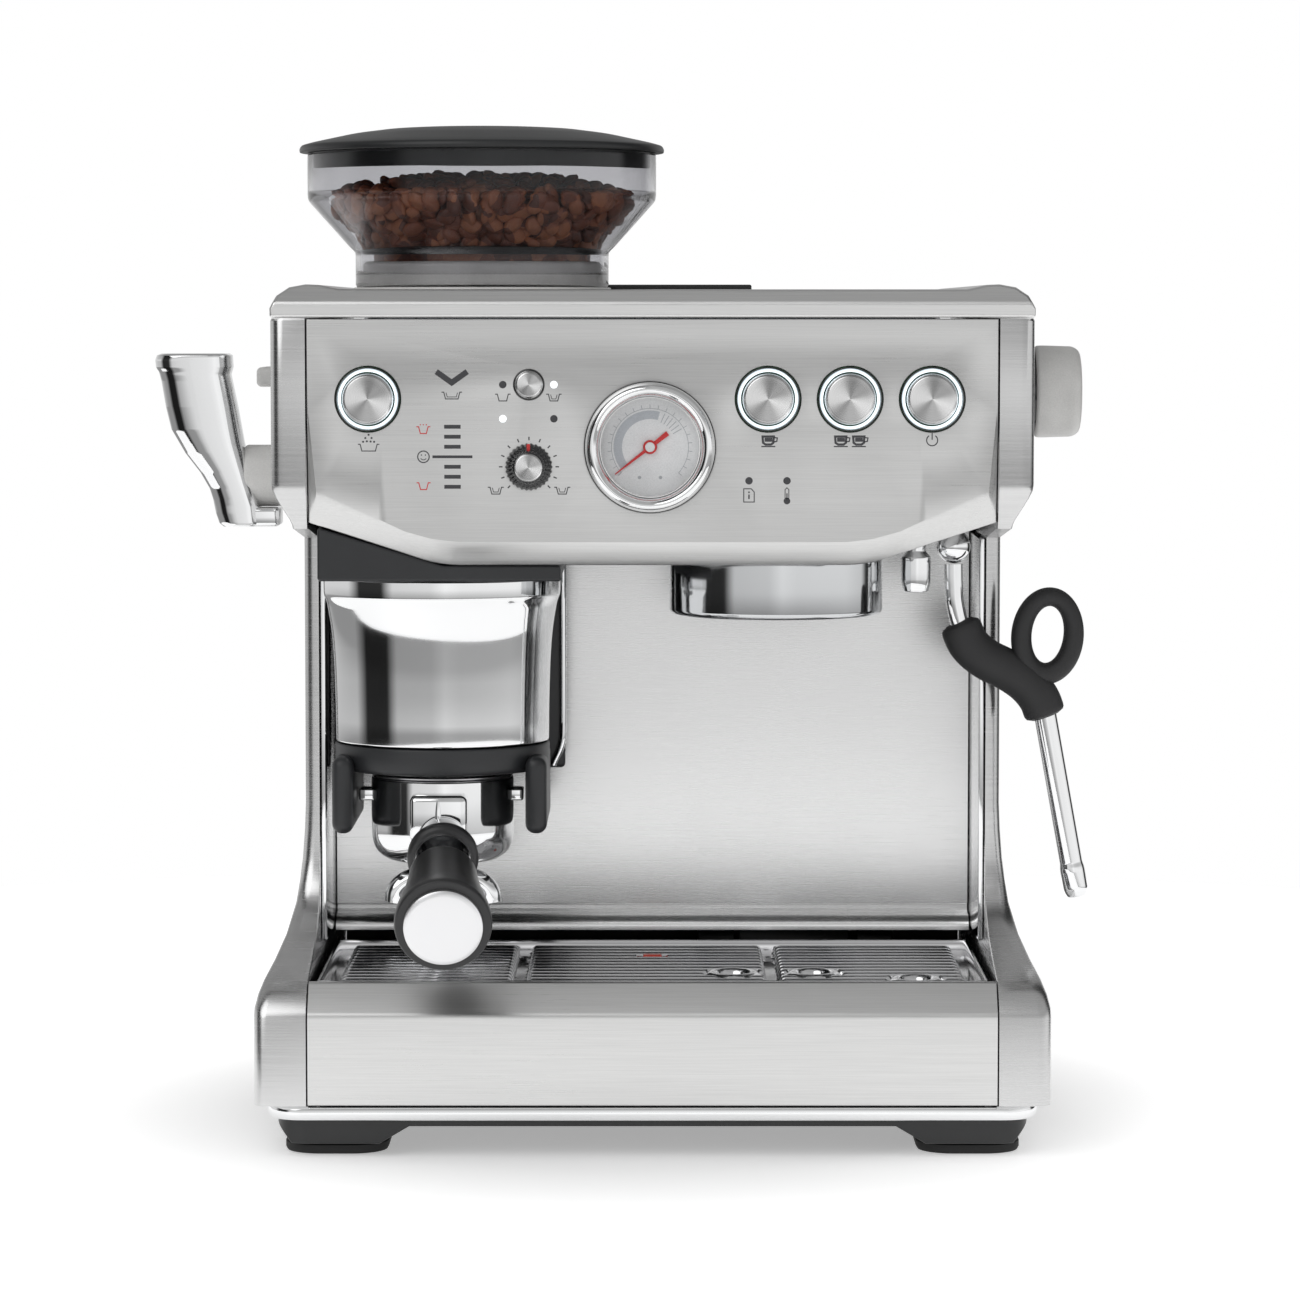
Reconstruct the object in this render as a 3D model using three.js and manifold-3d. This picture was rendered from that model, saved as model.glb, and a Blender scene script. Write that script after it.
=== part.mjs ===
// Bean-to-cup espresso machine with a built-in grinder and an assisted tamping lever.
// Millimetres, +Z up, the front of the machine faces -Y. Each function below makes one sub-part.
import * as THREE from 'three';
import { mergeVertices } from 'three/addons/utils/BufferGeometryUtils.js';
import Module from 'manifold-3d';

const wasm = await Module();
wasm.setup();

/* ------------------------------ driving sizes ------------------------------ */

const GAP = 0.3; // clearance between pieces that rest on each other
const FINE = 24; // sides of a large round piece
const COARSE = 16; // sides of a small round piece

const FRONT = -155; // front face of the drip tray
const HEAD_FRONT = -140; // front face of the control panel
const COLUMN_FRONT = -69; // front edge of the two columns
const SPLASH = -6; // front face of the splash panel
const TANK_WALL = 88; // wall between the works and the water tank
const BACK = 165; // rear edge of the side panels

const INNER_HALF = 138.5; // half the width between the side panels
const BASE_HALF = 160;
const COLUMN_HALF = 145;
const HEAD_HALF = 153;

const PAN_TOP = 22; // top of the base pan
const TRAY_EDGE = 59; // top of the upright tray front
const TRAY_TOP = 71; // surface that cups stand on
const HEAD_BOTTOM = 238; // underside of the head in the middle
const HEAD_WING = 255; // underside of the head at its sides
const HEAD_TOP = 337;
const COVER_TOP = 348.6; // flat top of the machine

const HOPPER = { x: -72, y: -25 };
const TAMP = { x: -87, y: -80 };
const GROUP = { x: 51, y: -80, radius: 44 };
const STEAM = { x: 124.5, y: -80, ball: 243 };
const SPOUT = { x: 109, y: -80, radius: 6 };
const GAUGE = { x: -1, z: 285.6, radius: 26 };
const DOSE_DIAL = { x: -49.4, z: 277.8, radius: 9.6 };
const FILTER_BUTTON = { x: -49.4, z: 310.6, radius: 5.6 };
const BUTTON = { z: 304.8, cap: 10, ring: 12.8 };
const BUTTONS = { dose_button: -113.8, one_cup_button: 46.2, two_cup_button: 79, power_button: 111.8 };
const LAMP_RADIUS = 1.6;
const LAMPS = [[-59.8, 310.6], [-39.4, 310.6], [-59.8, 297], [-39.4, 297], [38.6, 272.2], [53.8, 272.2]];
const LEVER = { y: -60, z: 271.6, width: 26 };
const STEAM_DIAL = { y: -75, z: 306.8, radius: 19 };
const GRIND_DIAL = { y: -5, z: 312, radius: 21 };
const MOTOR = { x: HOPPER.x, y: 42, radius: 28 };
const TANK = { half: 130, front: 94, back: 158, bottom: 38.6, top: 337, wall: 2.5 };

/* -------------------------------- materials -------------------------------- */

const finish = (color, roughness, metalness) => new THREE.MeshStandardMaterial({ color, roughness, metalness });
const brushed = () => finish(0xc4c4c2, 0.38, 1);
const chrome = () => finish(0xe6e7e8, 0.08, 1);
const blackPlastic = () => finish(0x202224, 0.5, 0);
const greyPlastic = () => finish(0xa9aaab, 0.45, 0.1);
const rubber = () => finish(0x18191a, 0.85, 0);
const smokedPlastic = () => finish(0x55585c, 0.12, 0);
const whitePlastic = () => finish(0xf2f3f4, 0.3, 0);

/* ------------------------------ shape helpers ------------------------------ */

/** Merges shared vertices, drops flat triangles at a turning axis and turns the faces outward. */
function closed(geometry) {
  const bare = geometry.clone();
  bare.deleteAttribute('normal');
  bare.deleteAttribute('uv');
  const merged = mergeVertices(bare, 1e-4);
  const point = merged.attributes.position;
  const corner = (index) => new THREE.Vector3().fromBufferAttribute(point, index);
  const faces = [];
  let volume = 0;
  for (let start = 0; start < merged.index.count; start += 3) {
    const [a, b, c] = [0, 1, 2].map((step) => merged.index.getX(start + step));
    if (a === b || b === c || c === a) continue;
    faces.push([a, b, c]);
    volume += corner(a).dot(corner(b).cross(corner(c)));
  }
  const outward = volume > 0 ? faces : faces.map(([a, b, c]) => [a, c, b]);
  merged.setIndex(outward.flat());
  merged.computeVertexNormals();
  return merged;
}

function toSolid(geometry) {
  const body = closed(geometry);
  return new wasm.Manifold(new wasm.Mesh({
    numProp: 3,
    vertProperties: new Float32Array(body.attributes.position.array),
    triVerts: new Uint32Array(body.index.array),
  }));
}

function toGeometry(solid) {
  const mesh = solid.getMesh();
  const geometry = new THREE.BufferGeometry();
  geometry.setAttribute('position', new THREE.BufferAttribute(new Float32Array(mesh.vertProperties), 3));
  geometry.setIndex(new THREE.BufferAttribute(new Uint32Array(mesh.triVerts), 1));
  geometry.computeVertexNormals();
  return geometry;
}

const join = (first, ...rest) => toGeometry(rest.reduce((body, piece) => body.add(toSolid(piece)), toSolid(first)));
const cut = (first, ...rest) =>
  toGeometry(rest.reduce((body, piece) => body.subtract(toSolid(piece)), toSolid(first)));

const shared = (first, second) => toGeometry(toSolid(first).intersect(toSolid(second)));

/** A box given by its two opposite corners. */
function block([x0, y0, z0], [x1, y1, z1]) {
  const box = new THREE.BoxGeometry(x1 - x0, y1 - y0, z1 - z0);
  return box.translate((x0 + x1) / 2, (y0 + y1) / 2, (z0 + z1) / 2);
}

/** A piece turned about +Z; the profile is a list of [radius, height]. */
function turned(profile, sides = FINE) {
  const points = profile.map(([radius, height]) => new THREE.Vector2(radius, height));
  return closed(new THREE.LatheGeometry(points, sides).rotateX(Math.PI / 2));
}

/** The same for a piece that is open at both ends: its profile closes on itself. */
const ring = (profile, sides) => turned([...profile, profile[0]], sides);

/** A plain cylinder along +Z. */
const rod = (radius, bottom, top, sides = COARSE) =>
  turned([[0, bottom], [radius, bottom], [radius, top], [0, top]], sides);

const outline = (points) => new THREE.Shape(points.map(([across, up]) => new THREE.Vector2(across, up)));

function extruded(shape, depth, curveSegments = 8) {
  return new THREE.ExtrudeGeometry(shape, { depth, curveSegments, bevelEnabled: false, steps: 1 });
}

/** An outline in X and Z, carried from the front face back to the rear face. */
const alongY = (shape, front, rear) => extruded(shape, rear - front).rotateX(Math.PI / 2).translate(0, rear, 0);

/** An outline in Y and Z, carried from left to right. */
function alongX(shape, left, right) {
  const axes = new THREE.Matrix4().makeBasis(
    new THREE.Vector3(0, 1, 0), new THREE.Vector3(0, 0, 1), new THREE.Vector3(1, 0, 0));
  return extruded(shape, right - left).applyMatrix4(axes).translate(left, 0, 0);
}

function roundedRectangle(width, height, radius) {
  const shape = new THREE.Shape();
  const [right, top] = [width / 2 - radius, height / 2 - radius];
  shape.absarc(right, top, radius, 0, Math.PI / 2);
  shape.absarc(-right, top, radius, Math.PI / 2, Math.PI);
  shape.absarc(-right, -top, radius, Math.PI, Math.PI * 1.5);
  shape.absarc(right, -top, radius, Math.PI * 1.5, Math.PI * 2);
  return shape;
}

/** A tube along a smooth route through the given points. */
function tube(points, radius, steps, sides = 10) {
  const section = outline(Array.from({ length: sides }, (_, side) => {
    const angle = (side / sides) * Math.PI * 2;
    return [radius * Math.cos(angle), radius * Math.sin(angle)];
  }));
  const extrudePath = new THREE.CatmullRomCurve3(points.map((point) => new THREE.Vector3(...point)));
  return new THREE.ExtrudeGeometry(section, { extrudePath, steps, bevelEnabled: false });
}

/** A body whose level cross-sections are convex rings with the same number of points. */
function stacked(rings) {
  const sides = rings[0].length;
  const positions = rings.flat(2);
  const faces = [];
  for (let level = 0; level < rings.length - 1; level += 1) {
    for (let side = 0; side < sides; side += 1) {
      const next = (side + 1) % sides;
      const [a, b] = [level * sides + side, level * sides + next];
      faces.push(a, b, b + sides, a, b + sides, a + sides);
    }
  }
  const top = (rings.length - 1) * sides;
  for (let side = 1; side < sides - 1; side += 1) {
    faces.push(0, side + 1, side, top, top + side, top + side + 1);
  }
  const geometry = new THREE.BufferGeometry();
  geometry.setAttribute('position', new THREE.Float32BufferAttribute(positions, 3));
  geometry.setIndex(faces);
  return closed(geometry);
}

/* --------------------------------- assembly --------------------------------- */

const machine = new THREE.Group();

function add(name, geometry, material, place = [0, 0, 0], parent = machine) {
  const mesh = new THREE.Mesh(closed(geometry), material);
  mesh.name = name;
  mesh.position.set(...place);
  parent.add(mesh);
  return mesh;
}

/* ------------------------------ base and casing ------------------------------ */

function addBasePan() {
  const half = 151.5;
  const [podInner, archEdge, podBottom, archTop] = [110, 98, 5.4, 12.5];
  const section = outline([
    [-half, PAN_TOP - GAP], [-half, archTop], [-half + 6, podBottom], [-podInner, podBottom],
    [-archEdge, archTop], [archEdge, archTop], [podInner, podBottom], [half - 6, podBottom],
    [half, archTop], [half, PAN_TOP - GAP],
  ]);
  const [front, rear] = [-147, 158];
  const plan = extruded(roundedRectangle(half * 2, rear - front, 12), 40).translate(0, (front + rear) / 2, 0);
  const arch = block([-half - 1, -85, 0], [half + 1, 95, archTop]);
  add('base_pan', cut(shared(alongY(section, front, rear), plan), arch), blackPlastic());
}

function addFeet() {
  const [across, deep, height] = [42, 48, 5.1];
  const pad = extruded(roundedRectangle(across, deep, 14), height, 4);
  const places = { front_left: [-128, -118], front_right: [128, -118], rear_left: [-128, 127], rear_right: [128, 127] };
  for (const [corner, [x, y]] of Object.entries(places)) {
    add(`foot_${corner}`, pad, rubber(), [x, y, 0]);
  }
}

function addBaseTrim() {
  const [half, wall, front, rear, corner] = [156, 4, -151.5, 158, 16];
  const band = (grow, end, bottom, height) => {
    const shape = new THREE.Shape();
    shape.moveTo(-half + grow, end);
    shape.lineTo(-half + grow, front + corner);
    shape.absarc(-half + corner, front + corner, corner - grow, Math.PI, Math.PI * 1.5);
    shape.absarc(half - corner, front + corner, corner - grow, Math.PI * 1.5, Math.PI * 2);
    shape.lineTo(half - grow, end);
    return extruded(shape, height, 5).translate(0, 0, bottom);
  };
  add('base_trim', cut(band(0, rear, 15.3, 6.2), band(wall, rear + 1, 10, 20)), chrome());
}

/** A side panel: wide at the base, slim along the column, wide again at the head. */
function addSidePanel(name, side) {
  const levels = [ // height, outer half width, front face
    [PAN_TOP, BASE_HALF, FRONT], [TRAY_EDGE, BASE_HALF, FRONT], [66, 158.6, -150], [TRAY_TOP, 156.6, -144],
    [76, 154, -120], [83, 151.4, -94], [94, 148.6, -78], [112, 146.2, -71], [135, COLUMN_HALF, COLUMN_FRONT],
    [246, COLUMN_HALF, COLUMN_FRONT], [253.6, COLUMN_HALF, -133], [HEAD_WING + 1, COLUMN_HALF + 1, -138.6],
    [268, HEAD_HALF, HEAD_FRONT], [HEAD_TOP, HEAD_HALF, HEAD_FRONT],
  ];
  const rounding = 5;
  const rings = levels.map(([z, outer, front]) => {
    const corner = [0, 1, 2, 3].map((step) => {
      const angle = (step / 3) * (Math.PI / 2);
      return [side * (outer - rounding + rounding * Math.sin(angle)),
        front + rounding - rounding * Math.cos(angle), z];
    });
    return [[side * INNER_HALF, front, z], ...corner, [side * outer, BACK, z], [side * INNER_HALF, BACK, z]];
  });
  add(name, stacked(rings), brushed());
}

function addBackCover() {
  const half = INNER_HALF - GAP;
  const section = outline([
    [TANK_WALL, PAN_TOP + GAP], [160, PAN_TOP + GAP], [160, 38], [TANK_WALL + 3, 38],
    [TANK_WALL + 3, HEAD_TOP - GAP], [TANK_WALL, HEAD_TOP - GAP],
  ]);
  const valveHole = rod(9, 20, 40).translate(60, 126, 0);
  add('back_cover', cut(alongX(section, -half, half), valveHole), blackPlastic());
}

function addPowerInlet() {
  const gland = ring([[4, 0], [11, 0], [11, 2], [8, 3], [7, 8], [4, 8]], COARSE).rotateX(-Math.PI / 2);
  add('power_inlet', gland, blackPlastic(), [-100, 160 + GAP, 30]);
}

/** The splash panel with its rolled lower lip and its two returned sides along the columns. */
function addSplashPanel() {
  const half = INNER_HALF - GAP;
  const section = outline([
    [SPLASH, 246], [SPLASH, 90], [-7.5, 84.5], [-11, 80], [-16, 77.5], [-16, 74.5], [-10, 77], [-5.5, 82],
    [-3.5, 88], [-3.5, 246],
  ]);
  const sideReturn = (side) => {
    const [inner, outer] = [side * (half - 2.2), side * half];
    return block([Math.min(inner, outer), COLUMN_FRONT, 74.5], [Math.max(inner, outer), SPLASH + 1, 246]);
  };
  add('splash_panel', join(alongX(section, -half, half), sideReturn(-1), sideReturn(1)), brushed());
}

/* ------------------------------------ head ------------------------------------ */

const headLine = (drop) => [
  [-INNER_HALF + GAP, HEAD_WING + drop], [-90, HEAD_BOTTOM + 2 + drop], [-84, HEAD_BOTTOM + drop],
  [84, HEAD_BOTTOM + drop], [90, HEAD_BOTTOM + 2 + drop], [INNER_HALF - GAP, HEAD_WING + drop],
];

/** A round hole through a plate that faces the front. */
const frontHole = (x, z, radius, front, rear, sides = COARSE) =>
  rod(radius, -rear, -front, sides).rotateX(Math.PI / 2).translate(x, 0, z);

function addControlPanel() {
  const half = INNER_HALF - GAP;
  const shape = outline([...headLine(0), [half, HEAD_TOP - GAP], [-half, HEAD_TOP - GAP]]);
  const [front, rear] = [HEAD_FRONT, HEAD_FRONT + 3.5];
  const hole = (x, z, radius, sides) => frontHole(x, z, radius, front - 1, rear + 1, sides);
  const holes = [
    ...Object.values(BUTTONS).map((x) => hole(x, BUTTON.z, BUTTON.ring + GAP, COARSE)),
    ...LAMPS.map(([x, z]) => hole(x, z, LAMP_RADIUS + GAP, 8)),
    hole(FILTER_BUTTON.x, FILTER_BUTTON.z, FILTER_BUTTON.radius + GAP, COARSE),
    hole(DOSE_DIAL.x, DOSE_DIAL.z, 3.4, 12),
    hole(GAUGE.x, GAUGE.z, 24.4, FINE),
  ];
  add('control_panel', cut(alongY(shape, front, rear), ...holes), brushed());
}

/** One clear moulding behind the control panel: four lit rings and six small lamps on one plate. */
function addLightGuide() {
  const plateFront = HEAD_FRONT + 3.8;
  const plate = block([-128, plateFront, 263], [126, plateFront + 1.5, 322]);
  const rings = Object.values(BUTTONS).map((x) => frontHole(x, BUTTON.z, BUTTON.ring, -142, plateFront + 1));
  const lamps = LAMPS.map(([x, z]) => frontHole(x, z, LAMP_RADIUS, HEAD_FRONT - 0.6, plateFront + 1, 8));
  const hole = (x, z, radius) => frontHole(x, z, radius, -145, -130);
  const holes = [
    ...Object.values(BUTTONS).map((x) => hole(x, BUTTON.z, BUTTON.cap + 0.5)),
    hole(FILTER_BUTTON.x, FILTER_BUTTON.z, FILTER_BUTTON.radius + 0.5),
    hole(DOSE_DIAL.x, DOSE_DIAL.z, 3.6),
    frontHole(GAUGE.x, GAUGE.z, 24.6, -145, -130, FINE),
  ];
  add('light_guide', cut(join(plate, ...rings, ...lamps), ...holes), whitePlastic());
}

function addButtons() {
  const cap = turned([[0, 0], [BUTTON.cap, 0], [BUTTON.cap, 8.2], [BUTTON.cap - 1, 9.4], [0, 9.4]], COARSE);
  for (const [name, x] of Object.entries(BUTTONS)) {
    add(name, cap.clone().rotateX(Math.PI / 2), brushed(), [x, -134, BUTTON.z]);
  }
  const small = turned([[0, 0], [5.6, 0], [5.6, 7.7], [4.8, 8.5], [0, 8.5]], COARSE).rotateX(Math.PI / 2);
  add('filter_button', small, brushed(), [FILTER_BUTTON.x, -134, FILTER_BUTTON.z]);
}

function addDoseDial() {
  const { x, z, radius } = DOSE_DIAL;
  const knob = turned([
    [0, 0], [3, 0], [3, 7.4], [radius, 7.4], [radius, 11], [radius - 1.5, 12.4], [6.4, 13], [6.2, 19], [5.2, 20], [0, 20],
  ], 24).rotateX(Math.PI / 2);
  add('dose_dial', knob, blackPlastic(), [x, -133, z]);
}

function addControlBoard() {
  const board = block([-128, -131.8, 262], [126, -130.2, 330]);
  const gaugeHole = frontHole(GAUGE.x, GAUGE.z, 25, -135, -128, FINE);
  add('control_board', cut(board, gaugeHole), finish(0x1f5a36, 0.6, 0));
}

function addGauge() {
  const { x, z, radius } = GAUGE;
  const housing = turned([
    [0, 0], [24, 0], [24, 28.3], [radius, 28.3], [radius, 32], [24.6, 34.4], [22, 35], [20, 31.6], [20, 24], [0, 24],
  ]).rotateX(Math.PI / 2);
  add('gauge_housing', housing, chrome(), [x, -112, z]);

  const needleAngle = THREE.MathUtils.degToRad(218); // rests at the low end of its scale
  const pointer = alongY(outline([[-9, -0.9], [-9, 0.9], [17.8, 0.35], [17.8, -0.35]]), -1.2, 0);
  const hub = frontHole(0, 0, 2.8, -2.4, 0, 12);
  const needle = join(pointer, hub).rotateY(-needleAngle);
  add('gauge_needle', needle, finish(0xd8342c, 0.4, 0), [x, -136 - GAP, z]);

  add('gauge_lens', frontHole(0, 0, 19.7, -1.5, 0, FINE), finish(0xffffff, 0.02, 0), [x, -141, z]);
}

function addHeadUnderside() {
  const [front, rear] = [HEAD_FRONT + 3.8, SPLASH - 0.4];
  const shape = outline([...headLine(0), ...headLine(3).reverse()]);
  const hole = ({ x, y }, radius, sides) => rod(radius, 230, 265, sides).translate(x, y, 0);
  const holes = [hole(GROUP, 38.6, FINE), hole(TAMP, 30, FINE), hole(SPOUT, 4.5, 12), hole(STEAM, 4.5, 12)];
  add('head_underside', cut(alongY(shape, front, rear), ...holes), brushed());
}

/** The top cover: raised rounded shoulders left and right, open at the rear for the water tank. */
function addTopCover() {
  const [half, top, bottom] = [HEAD_HALF, COVER_TOP, HEAD_TOP + GAP];
  const leftEdge = [[-half, bottom], [-half, 341], [-half + 2.6, 346], [-half + 7.5, 349.4], [-half + 14, 350.6],
    [-half + 19, 350.4], [-half + 27, top]];
  const rightEdge = leftEdge.map(([x, z]) => [-x, z]).reverse();
  const body = alongY(outline([...leftEdge, ...rightEdge]), HEAD_FRONT, BACK);
  const frontBevel = alongX(outline([[HEAD_FRONT - 1, 342], [HEAD_FRONT - 1, 352], [HEAD_FRONT + 8, 352]]), -160, 160);
  const hollow = block([-145, -132, bottom - 1], [145, 86, 340]);
  const tankBay = block([-TANK.half - 2, TANK_WALL + 4, bottom - 1], [TANK.half + 2, BACK + 1, 360]);
  const throat = rod(24, bottom - 1, 360, FINE).translate(HOPPER.x, HOPPER.y, 0);
  const cupRecess = block([2, -110, 343], [128, 80, 360]);
  add('top_cover', cut(body, frontBevel, hollow, tankBay, throat, cupRecess), brushed());
}

function addCupTray() {
  const [left, right, front, rear] = [2.5, 127.5, -109.5, 79.5];
  const slots = Array.from({ length: 7 }, (_, row) => {
    const y = front + 20 + row * 25;
    return block([left + 14, y - 3, 340], [right - 14, y + 3, 350]);
  });
  add('cup_tray', cut(block([left, front, 343 + GAP], [right, rear, 347.4]), ...slots), brushed());
}

/* ------------------------------ brewing and tamping ------------------------------ */

function addGroupHead() {
  const { x, y, radius } = GROUP;
  const body = turned([
    [0, 238], [0, 276], [34, 276], [38, 272], [38, HEAD_BOTTOM - GAP], [radius, HEAD_BOTTOM - GAP],
    [radius, 216.5], [radius - 1.5, 215], [35, 215], [34, 216], [34, 234], [0, 234],
  ].slice(1));
  add('group_head', body, chrome(), [x, y, 0]);
  add('group_gasket', ring([[26, 228.5], [33.6, 228.5], [33.6, 233.7], [26, 233.7]]), rubber(), [x, y, 0]);
  const screen = turned([[0, 229], [22, 229], [25.6, 230.5], [25.6, 233.7], [0, 233.7]], 24);
  add('shower_screen', screen, brushed(), [x, y, 0]);
}

function addTampUnit() {
  const { x, y } = TAMP;
  const bottom = 231.3;
  const housing = alongY(outline([
    [-135, bottom], [-37, bottom], [-37, HEAD_BOTTOM - GAP], [-84.4, HEAD_BOTTOM - GAP],
    [-90.4, HEAD_BOTTOM + 1.6], [-135, 253.2],
  ]), -131, -31);
  const bore = rod(30, 220, 260, FINE).translate(x, y, 0);
  add('tamp_housing', cut(housing, bore), blackPlastic());

  const outer = [[44.2, 163], [44.3, 178], [45, 195], [46.5, 214], [48.4, 226], [49, 231]];
  const inner = outer.map(([radius, z]) => [radius - 2, z]).reverse();
  add('tamp_cup', ring([...outer, ...inner]), chrome(), [x, y, 0]);

  const backplate = block([-48, 49.3, 146], [50, 54, HEAD_BOTTOM - GAP]);
  const collar = ring([[29, 151], [44.5, 151], [44.5, 162.7], [29, 162.7]]);
  const bridge = block([-44.5, 10, 151], [44.5, 50, 162.7]);
  const legs = [-1, 1].map((side) => {
    const [inside, outside] = [side * 35, side * 44];
    return block([Math.min(inside, outside), -34, 127], [Math.max(inside, outside), 42, 155]);
  });
  const cradle = cut(join(backplate, collar, bridge, ...legs), rod(29, 140, 170, FINE));
  add('tamp_cradle', cradle, blackPlastic(), [x, y, 0]);

  const tamper = turned([[0, 168], [25, 168], [25.6, 169], [25.6, 175], [18, 177], [5, 180], [5, 262], [0, 262]], 24);
  add('tamper', tamper, brushed(), [x, y, 0]);
}

/** The tamping lever: a polished paddle on a hub that turns beside the left panel. */
function addTampLever() {
  const paddle = outline([
    [-205.5, 322.3], [-207, 319], [-205.5, 314.4], [-202.5, 300.2], [-200.5, 291], [-194.6, 281], [-188.4, 273],
    [-184.6, 266.4], [-182, 256], [-180, 250.4], [-154.4, 250.4], [-154.4, 258], [-163.3, 259.5], [-166, 268],
    [-170.4, 285.2], [-175.9, 316.9], [-175, 322.3],
  ]);
  const { y, z, width } = LEVER;
  const hub = rod(13, -170, -154, 24).rotateY(Math.PI / 2).translate(0, y, z);
  const body = join(alongY(paddle, y - width / 2, y + width / 2), hub);
  const pivot = new THREE.Group();
  pivot.position.set(0, y, z);
  machine.add(pivot);
  add('tamp_lever', body.translate(0, -y, -z), chrome(), [0, 0, 0], pivot);
}

/* ---------------------------- grinder and hopper ---------------------------- */

/** A flat gear blank with shallow teeth. */
function gear(radius, teeth, bottom, top) {
  const points = Array.from({ length: teeth * 2 }, (_, step) => {
    const angle = (step / (teeth * 2)) * Math.PI * 2;
    const reach = step % 2 ? radius - 1.6 : radius;
    return [reach * Math.cos(angle), reach * Math.sin(angle)];
  });
  return extruded(outline(points), top - bottom).translate(0, 0, bottom);
}

function addGrinder() {
  const place = [HOPPER.x, HOPPER.y, 0];
  const body = ring([
    [6, 264], [42, 264], [42, 330], [40, 334], [28, 334], [28, 308], [20, 276], [6, 276],
  ]);
  add('grinder_body', body, finish(0x8b8d8f, 0.5, 0.8), place);
  add('upper_burr', ring([[15, 313], [27.5, 313], [27.5, 325], [24, 327], [20, 325]], 24), brushed(), place);
  const cone = turned([
    [0, 250], [5, 250], [5, 282], [13, 286], [14, 296], [12.5, 302], [8, 318], [4, 322], [0, 322],
  ], 16);
  add('lower_burr', join(cone, gear(37.6, 24, 252, 260)), brushed(), place);
  add('drive_gear', join(rod(4, 244.4, 262, 12), gear(28.6, 18, 252, 260)), brushed(), [MOTOR.x, MOTOR.y, 0]);
  const can = turned([[0, 150], [26, 150], [MOTOR.radius, 154], [MOTOR.radius, 240], [24, 244], [0, 244]], 24);
  add('grinder_motor', can, finish(0x77797b, 0.4, 0.9), [MOTOR.x, MOTOR.y, 0]);
}

/** The grind-size dial on the left side: a disc with a raised grip bar. */
function addGrindDial() {
  const { y, z, radius } = GRIND_DIAL;
  const disc = turned([[0, GAP], [radius, GAP], [radius, 5], [radius - 2, 7], [0, 7]], 24);
  const grip = block([-4.3, -16, 6], [4.3, 16, 15]);
  add('grind_dial', join(disc, grip).rotateY(-Math.PI / 2), greyPlastic(), [-HEAD_HALF, y, z]);
}

function addHopper() {
  const place = [HOPPER.x, HOPPER.y, 0];
  const bowl = ring([
    [22.6, 338], [22.6, 349], [53.5, 349], [53.5, 365], [56, 367], [73.6, 387], [73.6, 406],
    [71.6, 406], [71.6, 388], [54.6, 369], [50, 363], [20.4, 354], [20.4, 338],
  ]);
  add('hopper', bowl, smokedPlastic(), place);
  const lid = turned([
    [0, 414.4], [0, 417.4], [30, 416.8], [55, 414.4], [72, 410.4], [77, 408.8], [77, 406.4], [71, 406.4],
    [71, 399], [69, 399], [69, 407.5], [50, 411.6],
  ].concat([[0, 414.4]]).slice(1));
  add('hopper_lid', lid, blackPlastic(), place);
}

/* ------------------------------ water and heating ------------------------------ */

function addWaterTank() {
  const { half, front, back, bottom, top, wall } = TANK;
  const valve = rod(7, 28, 40, 16).translate(60, 126, 0);
  const body = join(block([-half, front, bottom], [half, back, top]), valve);
  const inside = block([-half + wall, front + wall, bottom + wall], [half - wall, back - wall, top + 1]);
  add('water_tank', cut(body, inside), smokedPlastic());

  const plate = block([-half, front, top + GAP], [half, back, 342.6]);
  const grip = cut(block([-45, 112, 342], [45, 124, 352]), block([-39, 111, 342.6], [39, 125, 348]));
  add('tank_lid', join(plate, grip), blackPlastic());
}

function addPumpAndHeater() {
  const pump = turned([[0, 0], [14, 0], [14, 16], [21, 18], [21, 66], [10, 70], [10, 86], [0, 86]], 24);
  add('pump', pump.rotateY(Math.PI / 2), finish(0x3a3c3f, 0.5, 0.3), [20, 44, 62]);
  const heater = turned([[0, 0], [34, 0], [36, 3], [36, 57], [34, 60], [8, 60], [8, 68], [0, 68]], 24);
  add('thermocoil', heater, finish(0x9fa1a3, 0.4, 1), [66, 42, 122]);
}

function addHotWaterSpout() {
  const { x, y, radius } = SPOUT;
  const pipe = ring([[3, 224], [radius - 1, 224], [radius, 225], [radius, 241], [4, 243.4], [4, 262], [3, 262]], 16);
  add('hot_water_spout', pipe, chrome(), [x, y, 0]);
}

/* ---------------------------------- steam wand ---------------------------------- */

/** The steam tube from the ball to its tip; grow widens it, for the bore of the grip. */
function wandBody(grow) {
  const route = [[0, 0, -7.3], [1, 0, -24], [3.6, 0, -36], [12, 0, -44.5], [25, 0, -51], [34, 0, -58], [38, 0, -70]];
  const upper = tube(route, 3.8 + grow, 22);
  const slope = new THREE.Vector3(13, 0, -72).normalize();
  const turn = new THREE.Quaternion().setFromUnitVectors(new THREE.Vector3(0, 0, 1), slope);
  const tip = grow ? 80 : 81.5;
  const lower = turned([
    [0, 0], [4.65 + grow, 0], [4.65 + grow, 68], [5.4 + grow, 69], [5.4 + grow, 76], [3, tip], [0, tip],
  ], 16).applyQuaternion(turn).translate(37.6, 0, -66);
  return join(upper, lower);
}

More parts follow.
